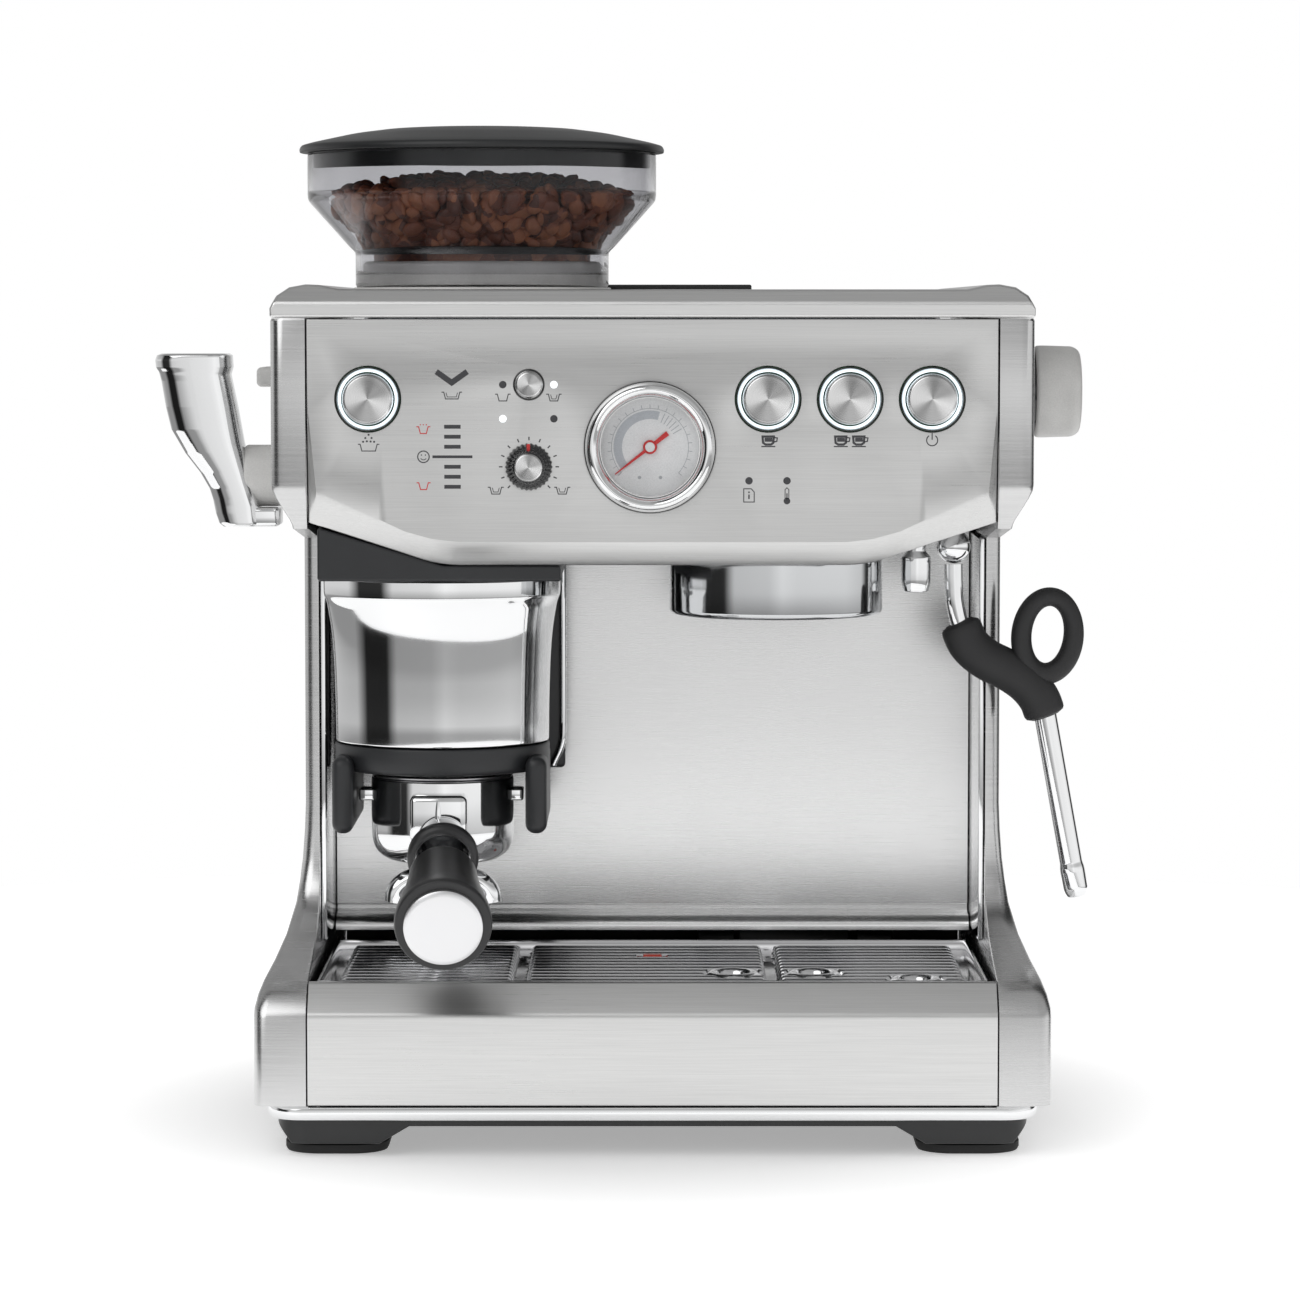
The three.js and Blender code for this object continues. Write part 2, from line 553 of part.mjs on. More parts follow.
function addSteamWand() {
  const { x, y, ball } = STEAM;
  const place = [x, y, ball];
  const angles = Array.from({ length: 9 }, (_, step) => -Math.PI / 2 + (step / 8) * 1.95);
  const sphere = angles.map((angle) => [7 * Math.cos(angle), 7 * Math.sin(angle)]);
  sphere[0][0] = 0;
  add('steam_ball', turned([...sphere, [3.8, 6.6], [3.8, 20], [0, 20]], 16), chrome(), place);
  add('steam_wand', wandBody(0), chrome(), place);

  const hose = tube([[2.2, 0, -31], [7, 0, -41], [22, 0, -49.5], [33, 0, -58], [38.6, 0, -71]], 8.6, 12, 14);
  const [across, tall, thick] = [15, 21, 12];
  const loop = new THREE.Shape();
  loop.absellipse(0, 0, across, tall, 0, Math.PI * 2);
  const hole = new THREE.Shape();
  hole.absellipse(0.6, 2.4, 6.6, 11, 0, Math.PI * 2);
  const eye = cut(alongY(loop, -thick / 2, thick / 2), alongY(hole, -thick, thick));
  const seated = eye.rotateY(0.1).translate(38.6, 0, -38);
  const fingerHole = alongY(hole, -thick, thick).rotateY(0.1).translate(38.6, 0, -38);
  add('steam_grip', cut(join(hose, seated), fingerHole, wandBody(GAP)), rubber(), place);
}

function addSteamDial() {
  const { y, z, radius } = STEAM_DIAL;
  const dial = turned([[0, GAP], [17, GAP], [17, 4], [radius, 4.4], [radius, 20], [radius - 1.6, 23], [0, 24]]);
  add('steam_dial', dial.rotateY(Math.PI / 2), greyPlastic(), [HEAD_HALF, y, z]);
}

/* ---------------------------------- portafilter ---------------------------------- */

function addPortafilter() {
  const { x, y } = TAMP;
  const portafilter = new THREE.Group();
  portafilter.position.set(x, y, 0);
  machine.add(portafilter);

  const root = new THREE.Vector3(0, 0, 137);
  const along = new THREE.Vector3(6, -135, -36);
  const length = along.length();
  const turn = new THREE.Quaternion().setFromUnitVectors(new THREE.Vector3(0, 0, 1), along.clone().normalize());
  const onHandle = (geometry) => geometry.applyQuaternion(turn).translate(root.x, root.y, root.z);

  const bowl = turned([
    [0, 112], [12, 112], [24, 114], [29, 118], [29.5, 122], [29.5, 148], [0, 148],
  ]);
  const neck = onHandle(rod(8.5, 28.6, 43.5, 16));
  const lugs = block([-33.6, -6, 138], [33.6, 6, 143]);
  const hollow = turned([[0, 119], [27.6, 120], [27.6, 160], [0, 160]]);
  add('portafilter_body', cut(join(bowl, neck, lugs), hollow), chrome(), [0, 0, 0], portafilter);

  const basket = turned([
    [0, 120.6], [25, 120.6], [27.2, 124], [27.2, 148 + GAP], [29.5, 148 + GAP], [29.5, 149.4], [26.4, 149.4],
    [26.4, 124], [24.6, 121.6], [0, 121.6],
  ]);
  add('filter_basket', basket, brushed(), [0, 0, 0], portafilter);

  const nozzles = [-20, 20].map((side) => rod(4.6, 95, 106, 12).translate(side, 0, 0));
  const spout = join(rod(9, 102, 112 - GAP, 16), block([-22, -4.5, 102], [22, 4.5, 107.6]), ...nozzles);
  add('portafilter_spout', spout, chrome(), [0, 0, 0], portafilter);

  const start = 43.8;
  const handle = turned([
    [0, start], [11.5, start], [13, start + 2], [13, start + 8], [11, start + 11], [11.6, start + 20],
    [14.5, start + 56], [18, length - 20], [19.2, length - 12], [19.2, length - 6], [18, length - 4.6], [0, length - 4.6],
  ], 24);
  add('portafilter_handle', onHandle(handle), blackPlastic(), [0, 0, 0], portafilter);
  const cap = turned([[0, length - 4.3], [15.7, length - 4.3], [15.7, length - 1.6], [13, length - 0.4], [0, length]], 24);
  add('handle_cap', onHandle(cap), whitePlastic(), [0, 0, 0], portafilter);
}

/* ----------------------------------- drip tray ----------------------------------- */

function addDripTray() {
  const [half, front, rear, rim] = [134, -151.6, -19, 58];
  const tub = block([-half, front, 24], [half, rear, rim]);
  const inside = block([-half + 2.5, front + 2.5, 27], [half - 2.5, rear - 2.5, rim + 1]);
  add('drip_tray', cut(tub, inside), blackPlastic());

  const panel = outline([
    [FRONT, PAN_TOP + GAP], [FRONT + 3, PAN_TOP + GAP], [FRONT + 3, TRAY_EDGE], [-146.4, 67.4], [-143.6, 68.4],
    [-143.6, TRAY_TOP], [-145.2, TRAY_TOP], [FRONT, TRAY_EDGE],
  ]);
  add('tray_front', alongX(panel, -INNER_HALF + GAP, INNER_HALF - GAP), brushed());
}

/** The grille: three fields of slots that run across, a slot for the float, and a skirt below. */
function addDripGrille() {
  const [half, front, rear, bottom] = [134, -143, -20, 66.6];
  const skirtBottom = 58 + GAP;
  const plate = block([-half, front, skirtBottom], [half, rear, TRAY_TOP]);
  const underneath = block([-half + 2.5, front + 2.5, skirtBottom - 1], [half - 2.5, rear - 2.5, bottom]);
  const fields = [[-127, -57], [-51, 46], [52, 127]];
  const rows = Array.from({ length: 12 }, (_, row) => front + 10 + row * 9);
  const slots = rows.flatMap((y) => fields.map(([left, right]) => block([left, y, 60], [right, y + 4, 75])));
  const floatHole = block([-6.5, -65, 60], [6.5, -55, 75]);
  add('drip_grille', cut(plate, underneath, floatHole, ...slots), chrome());

  const post = block([-4, -62.5, 28], [4, -57.5, TRAY_TOP - 0.6]);
  const float = join(post, block([-14, -72, 28], [14, -48, 40]));
  add('tray_float', float, finish(0xc8402e, 0.5, 0));
}

/* ------------------------------------ build ------------------------------------ */

addBasePan();
addFeet();
addBaseTrim();
addSidePanel('left_side_panel', -1);
addSidePanel('right_side_panel', 1);
addBackCover();
addPowerInlet();
addSplashPanel();
addControlPanel();
addLightGuide();
addButtons();
addDoseDial();
addControlBoard();
addGauge();
addHeadUnderside();
addTopCover();
addCupTray();
addGroupHead();
addTampUnit();
addTampLever();
addGrinder();
addGrindDial();
addHopper();
addWaterTank();
addPumpAndHeater();
addHotWaterSpout();
addSteamWand();
addSteamDial();
addPortafilter();
addDripTray();
addDripGrille();

// The origin is under the middle of the machine's box, on the worktop.
const bounds = new THREE.Box3().setFromObject(machine, true);
const middle = bounds.getCenter(new THREE.Vector3());
machine.position.set(-middle.x, -middle.y, -bounds.min.z);

export default machine;
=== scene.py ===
"""Espresso machine with a built-in grinder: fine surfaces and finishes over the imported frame."""
import logging
import math
from dataclasses import dataclass, field
from enum import Enum
from typing import Callable, Optional, Sequence, Union

import bmesh
import bpy
import numpy as np
from mathutils import Matrix, Vector
from mathutils.geometry import delaunay_2d_cdt


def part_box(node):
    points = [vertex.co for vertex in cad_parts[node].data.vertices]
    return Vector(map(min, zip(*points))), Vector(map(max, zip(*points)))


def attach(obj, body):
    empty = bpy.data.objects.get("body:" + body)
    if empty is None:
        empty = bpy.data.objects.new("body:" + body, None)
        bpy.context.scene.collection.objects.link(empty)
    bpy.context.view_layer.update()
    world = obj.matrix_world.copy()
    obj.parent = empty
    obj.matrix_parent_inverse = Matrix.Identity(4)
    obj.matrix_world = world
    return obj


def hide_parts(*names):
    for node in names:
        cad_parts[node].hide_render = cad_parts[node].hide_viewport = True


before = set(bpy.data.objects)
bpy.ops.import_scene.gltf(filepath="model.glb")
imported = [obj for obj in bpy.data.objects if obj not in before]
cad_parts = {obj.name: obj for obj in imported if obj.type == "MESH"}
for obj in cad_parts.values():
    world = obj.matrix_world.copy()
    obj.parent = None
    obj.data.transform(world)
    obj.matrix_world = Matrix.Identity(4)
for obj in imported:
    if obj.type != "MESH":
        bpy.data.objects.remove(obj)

LOG = logging.getLogger("espresso_machine")
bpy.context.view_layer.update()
MM = 0.001
Array = np.ndarray
Profile = Sequence[tuple[float, ...]]


def home() -> Array:
    """Gives the machine's own origin in metres: mid width, 155 mm behind the tray's front, on the worktop."""
    panel_low, panel_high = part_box("control_panel")
    tray_low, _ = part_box("tray_front")
    return np.array([(panel_low[0] + panel_high[0]) / 2, tray_low[1] + 155 * MM, 0.0])


HOME = home()


@dataclass(frozen=True)
class NodeBox:
    """A CAD node's box in the machine's own millimetres."""

    low: Array
    high: Array

    @staticmethod
    def of(node: str) -> "NodeBox":
        """Reads the box of the named node."""
        low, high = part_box(node)
        return NodeBox((np.array(low) - HOME) / MM, (np.array(high) - HOME) / MM)

    @property
    def centre(self) -> Array:
        """The middle of the box."""
        return (self.low + self.high) / 2

    @property
    def size(self) -> Array:
        """The three side lengths."""
        return self.high - self.low


# ---------------------------------------------------------------- surfaces


@dataclass
class Surface:
    """A closed surface: points in millimetres and faces as index lists."""

    points: Array
    faces: list[list[int]]

    def moved(self, offset: Sequence[float]) -> "Surface":
        """Shifts every point by one offset."""
        return Surface(self.points + np.asarray(offset, float), self.faces)

    def turned(self, matrix: Array) -> "Surface":
        """Turns every point by a 3 by 3 matrix."""
        return Surface(self.points @ np.asarray(matrix, float).T, self.faces)

    def bent(self, rule: Callable[[Array], Array]) -> "Surface":
        """Passes all the points through one rule."""
        return Surface(rule(self.points.copy()), self.faces)

    @staticmethod
    def joined(*parts: "Surface") -> "Surface":
        """Puts several closed surfaces into one piece."""
        starts = np.cumsum([0] + [len(part.points) for part in parts[:-1]])
        faces = [[index + int(start) for index in face] for part, start in zip(parts, starts) for face in part.faces]
        return Surface(np.vstack([part.points for part in parts]), faces)


def turn(axis: str, degrees: float) -> Array:
    """Gives the matrix that turns about one axis by the right-hand rule."""
    return np.array(Matrix.Rotation(math.radians(degrees), 3, axis))


FACING_FRONT = turn("X", 90)
FACING_RIGHT = turn("Y", 90)
FACING_LEFT = turn("Y", -90)


def grid(points: Array, wrap_rows: bool = False, cap_start: bool = False, cap_end: bool = False) -> Surface:
    """Makes quads between rows of points whose columns wrap round.

    Args:
        points: rows by columns by 3; each row is a ring.
        wrap_rows: joins the last row to the first, for a ring-shaped body.
        cap_start: closes the first ring with one flat face.
        cap_end: closes the last ring with one flat face.

    Returns:
        The surface.
    """
    rows, columns, _ = points.shape
    index = np.arange(rows * columns).reshape(rows, columns)
    across = np.roll(index, -1, axis=1)
    lower, upper = (index, np.roll(index, -1, axis=0)) if wrap_rows else (index[:-1], index[1:])
    lower_next, upper_next = (across, np.roll(across, -1, axis=0)) if wrap_rows else (across[:-1], across[1:])
    quads = np.stack([lower, lower_next, upper_next, upper], axis=-1).reshape(-1, 4).tolist()
    if cap_start:
        quads.append(index[0][::-1].tolist())
    if cap_end:
        quads.append(index[-1].tolist())
    return Surface(points.reshape(-1, 3), quads)


def filleted(profile: Profile, steps: int = 4) -> Array:
    """Rounds the corners of a flat line.

    A corner with a radius becomes an arc that touches both sides, blended as a quadratic curve through
    the corner: (1-t)^2 before + 2t(1-t) corner + t^2 after.

    Args:
        profile: points as (first, second) or (first, second, radius).
        steps: pieces in each arc.

    Returns:
        The rounded line, n by 2.
    """
    corners = np.array([point[:2] for point in profile], float)
    rounded: list[Array] = []
    for place, point in enumerate(profile):
        radius = point[2] if len(point) > 2 else 0.0
        if radius <= 0 or place in (0, len(profile) - 1):
            rounded.append(corners[place][None])
            continue
        before, after = corners[place - 1] - corners[place], corners[place + 1] - corners[place]
        reach = min(radius, np.linalg.norm(before) * 0.49, np.linalg.norm(after) * 0.49)
        start = corners[place] + before / np.linalg.norm(before) * reach
        end = corners[place] + after / np.linalg.norm(after) * reach
        t = np.linspace(0, 1, steps + 1)[:, None]
        rounded.append((1 - t) ** 2 * start + 2 * t * (1 - t) * corners[place] + t**2 * end)
    return np.vstack(rounded)


def revolved(profile: Profile, sides: int = 96, closed: bool = False) -> Surface:
    """Turns a profile about +Z: each point (r, h) goes to (r cos a, r sin a, h) for a round the circle.

    Args:
        profile: (radius, height) or (radius, height, corner radius), from the axis to the axis.
        sides: steps round the circle.
        closed: the profile is a loop that stays off the axis.

    Returns:
        The turned body.
    """
    line = filleted([*profile, profile[0]] if closed else profile)
    if closed:
        line = line[:-1]
    angle = np.linspace(0, 2 * np.pi, sides, endpoint=False)
    radius, height = np.maximum(line[:, 0], 0.02)[:, None], line[:, 1][:, None]
    points = np.stack([radius * np.cos(angle), radius * np.sin(angle), height + 0 * angle], axis=-1)
    return grid(points, wrap_rows=closed, cap_start=not closed, cap_end=not closed)


def swept(path: Array, radius: Union[float, Array], up: Sequence[float] = (0, 1, 0), sides: int = 28,
          squash: float = 1.0) -> Surface:
    """Carries a round section along a path: centre + r (cos a side + squash sin a up).

    Args:
        path: n by 3 points.
        radius: one radius or one for each point.
        up: a direction that the path never runs along.
        sides: steps round the section.
        squash: the section's size along up, as a share of its width.

    Returns:
        The capped tube.
    """
    path = np.asarray(path, float)
    along = np.gradient(path, axis=0)
    along /= np.linalg.norm(along, axis=1, keepdims=True)
    side = np.cross(along, np.asarray(up, float))
    side /= np.linalg.norm(side, axis=1, keepdims=True)
    rise = np.cross(side, along)
    angle = np.linspace(0, 2 * np.pi, sides, endpoint=False)[None, :, None]
    reach = np.broadcast_to(np.asarray(radius, float), (len(path),))[:, None, None]
    ring = reach * (np.cos(angle) * side[:, None] + squash * np.sin(angle) * rise[:, None])
    return grid(path[:, None] + ring, cap_start=True, cap_end=True)


def smooth_path(points: Sequence[Sequence[float]], steps: int = 60) -> Array:
    """Draws a smooth line through a few points: a cubic through each pair with Catmull-Rom slopes.

    Args:
        points: the points to pass through.
        steps: the number of points wanted.

    Returns:
        steps by 3 points.
    """
    knots = np.asarray(points, float)
    padded = np.vstack([2 * knots[0] - knots[1], knots, 2 * knots[-1] - knots[-2]])
    place = np.linspace(0, len(knots) - 1 - 1e-9, steps)
    cell = place.astype(int)
    t = (place - cell)[:, None]
    a, b, c, d = (padded[cell + shift] for shift in range(4))
    return 0.5 * (2 * b + (c - a) * t + (2 * a - 5 * b + 4 * c - d) * t**2 + (3 * b - a - 3 * c + d) * t**3)


def rounded_outline(width: float, height: float, radius: float, steps: int = 8) -> Array:
    """Gives a rounded rectangle about the origin, anticlockwise: corner centre + radius (cos a, sin a)."""
    angle = (np.arange(4)[:, None] * 90 + np.linspace(0, 90, steps)[None, :]).ravel() * np.pi / 180
    sign_x = np.repeat([1, -1, -1, 1], steps)
    sign_y = np.repeat([1, 1, -1, -1], steps)
    return np.stack([sign_x * (width / 2 - radius) + radius * np.cos(angle),
                     sign_y * (height / 2 - radius) + radius * np.sin(angle)], axis=-1)


def rounded_block(low: Sequence[float], high: Sequence[float], radius: float, steps: int = 4) -> Surface:
    """A block with round edges: each point is an inner corner plus radius times a direction on a sphere.

    Args:
        low: the lowest corner.
        high: the highest corner.
        radius: the edge radius.
        steps: pieces in each quarter turn.

    Returns:
        The block.
    """
    low, high = np.asarray(low, float), np.asarray(high, float)
    half = (high - low) / 2 - radius
    tilt = np.concatenate([np.linspace(-90, 0, steps + 1), np.linspace(0, 90, steps + 1)]) * np.pi / 180
    lift = np.repeat([-1, 1], steps + 1)
    angle = (np.arange(4)[:, None] * 90 + np.linspace(0, 90, steps + 1)[None, :]).ravel() * np.pi / 180
    sign_x, sign_y = np.repeat([1, -1, -1, 1], steps + 1), np.repeat([1, 1, -1, -1], steps + 1)
    flat = np.cos(tilt)[:, None]
    points = np.stack([sign_x * half[0] + radius * flat * np.cos(angle),
                       sign_y * half[1] + radius * flat * np.sin(angle),
                       (lift * half[2] + radius * np.sin(tilt))[:, None] + 0 * angle], axis=-1)
    return grid(points + (low + high) / 2, cap_start=True, cap_end=True)


def circle(x: float, y: float, radius: float, sides: int = 48) -> Array:
    """Gives a circle as a loop of points, anticlockwise."""
    angle = np.linspace(0, 2 * np.pi, sides, endpoint=False)
    return np.stack([x + radius * np.cos(angle), y + radius * np.sin(angle)], axis=-1)


def inset(loop: Array, distance: float) -> Array:
    """Moves an anticlockwise loop inward along its corner bisectors."""
    before, after = loop - np.roll(loop, 1, axis=0), np.roll(loop, -1, axis=0) - loop
    before /= np.linalg.norm(before, axis=1, keepdims=True)
    after /= np.linalg.norm(after, axis=1, keepdims=True)
    normal = np.stack([-(before + after)[:, 1], (before + after)[:, 0]], axis=-1)
    normal /= np.linalg.norm(normal, axis=1, keepdims=True)
    lean = np.abs(np.sum(normal * np.stack([-after[:, 1], after[:, 0]], axis=-1), axis=1, keepdims=True))
    return loop + normal * distance / np.maximum(lean, 0.5)


def plate(outer: Array, holes: Sequence[Array], thickness: float, edge: float = 0.4,
          creases: Sequence[tuple[Array, Array]] = (), steps: int = 3) -> Surface:
    """A flat plate with rounded front edges, its front at height 0 and its back at -thickness.

    Each rim is a profile carried along its loop: inset e(1 - sin t), height -e(1 - cos t), then straight
    to the back. The two flats are filled between the loops by a Delaunay triangulation.

    Args:
        outer: the outline, anticlockwise.
        holes: the hole outlines, anticlockwise.
        thickness: the plate's thickness.
        edge: the edge radius.
        creases: straight lines that the front and back flats keep as edges, for bending later.
        steps: pieces in each rounded edge.

    Returns:
        The plate.
    """
    t = np.linspace(0, np.pi / 2, steps + 1)
    insets = np.append(edge * (1 - np.sin(t)), 0.0)
    heights = np.append(-edge * (1 - np.cos(t)), -thickness)
    parts: list[Surface] = []
    fronts: list[Array] = []
    backs: list[Array] = []
    for place, loop in enumerate([outer, *holes]):
        sign = 1.0 if place == 0 else -1.0
        rings = np.stack([np.column_stack([inset(loop, sign * step), np.full(len(loop), height)])
                          for step, height in zip(insets, heights)])
        wall = grid(rings)
        if place > 0:
            wall.faces = [face[::-1] for face in wall.faces]
        parts.append(Surface(wall.points, [face[::-1] for face in wall.faces]))
        fronts.append(rings[0][:, :2])
        backs.append(rings[-1][:, :2])
    for loops, height, flip in ((fronts, 0.0, False), (backs, -thickness, True)):
        corners = np.vstack([*loops, *[np.stack(line) for line in creases]])
        edges: list[tuple[int, int]] = []
        start = 0
        for loop in loops:
            index = np.arange(len(loop))
            edges += np.stack([index + start, (index + 1) % len(loop) + start], axis=-1).tolist()
            start += len(loop)
        edges += [(start + 2 * number, start + 2 * number + 1) for number in range(len(creases))]
        flat, _, faces, _, _, _ = delaunay_2d_cdt([Vector(point) for point in corners], edges, [], 0, 1e-5)
        flat = np.array([tuple(point) for point in flat])
        middles = np.array([flat[list(face)].mean(axis=0) for face in faces])
        keep = inside(middles, loops[0])
        for loop in loops[1:]:
            keep &= ~inside(middles, loop)
        kept = [list(face)[::-1] if flip else list(face) for face, wanted in zip(faces, keep) if wanted]
        parts.append(Surface(np.column_stack([flat, np.full(len(flat), height)]), kept))
    return Surface.joined(*parts)


def inside(points: Array, loop: Array) -> Array:
    """Tells which points lie inside a loop, by counting the sides that a ray to the right crosses."""
    ax, ay = loop[:, 0][None], loop[:, 1][None]
    bx, by = np.roll(loop[:, 0], -1)[None], np.roll(loop[:, 1], -1)[None]
    x, y = points[:, 0][:, None], points[:, 1][:, None]
    spans = (ay > y) != (by > y)
    height = np.where(np.abs(by - ay) < 1e-12, 1e-12, by - ay)
    return (np.sum(spans & (x < (bx - ax) * (y - ay) / height + ax), axis=1) % 2) == 1


def ribbon(path: Sequence[tuple[float, float]], width: float, closed: bool = False, lift: float = 0.05) -> Surface:
    """A printed line: the path offset by half a width to each side, as a very thin raised strip.

    Args:
        path: the points of the line in its own flat.
        width: the line's width.
        closed: joins the end to the start.
        lift: the strip's thickness.

    Returns:
        The strip, its top at height lift.
    """
    line = np.asarray(path, float)
    if closed:
        after, before = np.roll(line, -1, axis=0) - line, line - np.roll(line, 1, axis=0)
    else:
        steps = np.diff(line, axis=0)
        after, before = np.vstack([steps, steps[-1:]]), np.vstack([steps[:1], steps])
    after = after / np.linalg.norm(after, axis=1, keepdims=True)
    before = before / np.linalg.norm(before, axis=1, keepdims=True)
    normal = np.stack([-(before + after)[:, 1], (before + after)[:, 0]], axis=-1)
    normal /= np.linalg.norm(normal, axis=1, keepdims=True)
    lean = np.abs(np.sum(normal * np.stack([-after[:, 1], after[:, 0]], axis=-1), axis=1, keepdims=True))
    shift = normal * (width / 2) / np.maximum(lean, 0.4)
    left, right = line + shift, line - shift
    ring = np.stack([np.column_stack([right, 0 * right[:, :1]]), np.column_stack([right, 0 * right[:, :1] + lift]),
                     np.column_stack([left, 0 * left[:, :1] + lift]), np.column_stack([left, 0 * left[:, :1]])], axis=1)
    return grid(ring, wrap_rows=closed, cap_start=not closed, cap_end=not closed)


def disc_mark(x: float, y: float, radius: float, lift: float = 0.05, sides: int = 20) -> Surface:
    """A printed dot."""
    return revolved([(0, 0), (radius, 0), (radius, lift), (0, lift)], sides).moved((x, y, 0))


# ---------------------------------------------------------------- shader maths


Number = Union[float, "Value"]


class Value:
    """A number that varies over a surface; Python's operators add Math nodes to its graph."""

    def __init__(self, graph: "Graph", socket: bpy.types.NodeSocket) -> None:
        """Wraps one output socket of the graph."""
        self.graph = graph
        self.socket = socket

    def math(self, operation: str, first: Number, second: Number = 0.0) -> "Value":
        """Adds one Math node."""
        made = self.graph.node("ShaderNodeMath", {"operation": operation}, {0: first, 1: second})
        return Value(self.graph, made.outputs[0])

    def __add__(self, other: Number) -> "Value":
        """Adds."""
        return self.math("ADD", self, other)

    def __sub__(self, other: Number) -> "Value":
        """Subtracts."""
        return self.math("SUBTRACT", self, other)

    def __rsub__(self, other: Number) -> "Value":
        """Subtracts from a number."""
        return self.math("SUBTRACT", other, self)

    def __mul__(self, other: Number) -> "Value":
        """Multiplies."""
        return self.math("MULTIPLY", self, other)

    def __pow__(self, other: Number) -> "Value":
        """Raises to a power."""
        return self.math("POWER", self, other)

    __radd__ = __add__
    __rmul__ = __mul__

    def clamped(self, low: float = 0.0, high: float = 1.0) -> "Value":
        """Keeps the number between two limits."""
        return self.math("MINIMUM", self.math("MAXIMUM", self, low), high)


def fill_ramp(ramp: bpy.types.ColorRamp, stops: Sequence[tuple[float, tuple[float, float, float]]]) -> None:
    """Gives a colour ramp its stops, in rising order."""
    while len(ramp.elements) > 1:
        ramp.elements.remove(ramp.elements[-1])
    for place, (position, color) in enumerate(stops):
        element = ramp.elements[0] if place == 0 else ramp.elements.new(position)
        element.position, element.color = position, (*color, 1.0)


class Graph:
    """One material's node graph, ending in a Principled shader."""

    def __init__(self, name: str) -> None:
        """Makes an empty material with its shader and output."""
        self.material = bpy.data.materials.new(name)
        self.material.use_nodes = True
        self.tree = self.material.node_tree
        self.tree.nodes.clear()
        self.shader = self.node("ShaderNodeBsdfPrincipled", {}, {})
        self.node("ShaderNodeOutputMaterial", {}, {"Surface": self.shader.outputs[0]})
        self.place = self.node("ShaderNodeTexCoord", {}, {}).outputs["Object"]

    def node(self, kind: str, settings: dict, inputs: dict) -> bpy.types.Node:
        """Adds any node.

        Args:
            kind: the node's type.
            settings: attributes set first; "stops" fills a colour ramp.
            inputs: socket name or number to a value, a Value or another socket.

        Returns:
            The node.
        """
        made = self.tree.nodes.new(kind)
        for name, setting in settings.items():
            if name == "stops":
                fill_ramp(made.color_ramp, setting)
            else:
                setattr(made, name, setting)
        for name, value in inputs.items():
            self.feed(made.inputs[name], value)
        return made

    def feed(self, socket: bpy.types.NodeSocket, value: object) -> None:
        """Links or sets one input socket."""
        source = value.socket if isinstance(value, Value) else value
        if isinstance(source, bpy.types.NodeSocket):
            self.tree.links.new(source, socket)
        else:
            socket.default_value = source

    def mapped(self, scale: Sequence[float], rotation: Sequence[float] = (0, 0, 0),
               location: Sequence[float] = (0, 0, 0)) -> bpy.types.NodeSocket:
        """Scales the object's coordinates."""
        return self.node("ShaderNodeMapping", {}, {
            "Vector": self.place, "Scale": tuple(scale), "Rotation": tuple(rotation),
            "Location": tuple(location)}).outputs[0]

    def noise(self, scale: float, stretch: Sequence[float] = (1, 1, 1), detail: float = 3.0,
              roughness: float = 0.55, vector: Optional[bpy.types.NodeSocket] = None) -> Value:
        """Gives a cloudy value between 0 and 1 with a middle of about 0.5."""
        source = vector or self.mapped(stretch)
        made = self.node("ShaderNodeTexNoise", {}, {
            "Vector": source, "Scale": scale, "Detail": detail, "Roughness": roughness})
        return Value(self, made.outputs[0])

    def ramp(self, value: Number, stops: Sequence[tuple[float, tuple[float, float, float]]]) -> bpy.types.NodeSocket:
        """Turns a value into a colour."""
        return self.node("ShaderNodeValToRGB", {"stops": stops}, {0: value}).outputs[0]

    def mixed(self, share: Number, first: object, second: object) -> bpy.types.NodeSocket:
        """Mixes two colours."""
        made = self.node("ShaderNodeMix", {"data_type": "RGBA"}, {})
        self.feed(made.inputs[0], share)
        self.feed(made.inputs[6], (*first, 1.0) if isinstance(first, tuple) else first)
        self.feed(made.inputs[7], (*second, 1.0) if isinstance(second, tuple) else second)
        return made.outputs[2]

    def bump(self, height: Value, strength: float, distance: float) -> None:
        """Feeds a height into the shader's normal through a Bump node."""
        made = self.node("ShaderNodeBump", {}, {"Strength": strength, "Distance": distance, "Height": height})
        self.feed(self.shader.inputs["Normal"], made.outputs[0])

    def set(self, **inputs: object) -> "Graph":
        """Sets or links the shader's own sockets; an underscore stands for a space."""
        for name, value in inputs.items():
            self.feed(self.shader.inputs[name.replace("_", " ")], value)
        return self


# ---------------------------------------------------------------- finishes


class Grain(Enum):
    """The way that brushing runs, as the stretch of its streaks along X, Y and Z."""

    ACROSS = (0.012, 1.0, 1.0)
    UPRIGHT = (1.0, 1.0, 0.012)
    AROUND = (0.012, 0.012, 1.0)


@dataclass(frozen=True)
class Brushed:
    """Stainless steel with fine straight brushing and faint handling marks."""

    name: str
    grain: Grain = Grain.ACROSS
    color: tuple[float, float, float] = (0.66, 0.66, 0.655)
    roughness: float = 0.3
    depth: float = 0.1
    contrast: float = 0.075

    def material(self) -> bpy.types.Material:
        """Builds the brushed finish: two layers of stretched noise drive colour, roughness and bump."""
        graph = Graph(self.name)
        streaks = graph.noise(2600, self.grain.value, 3.0, 0.6)
        bands = graph.noise(420, self.grain.value, 2.0, 0.5)
        clouds = graph.noise(9, (1, 1, 1), 3.0, 0.6)
        dark = tuple(channel * (1 - self.contrast) for channel in self.color)
        light = tuple(min(channel * (1 + self.contrast * 0.7), 1.0) for channel in self.color)
        tone = streaks * 0.78 + bands * 0.22
        graph.set(Base_Color=graph.ramp(tone, [(0.3, dark), (0.7, light)]), Metallic=1.0,
                  Roughness=(self.roughness - 0.11 + streaks * 0.12 + clouds * 0.1).clamped(0.08, 0.9))
        graph.bump(streaks, self.depth, 0.00004)
        return graph.material


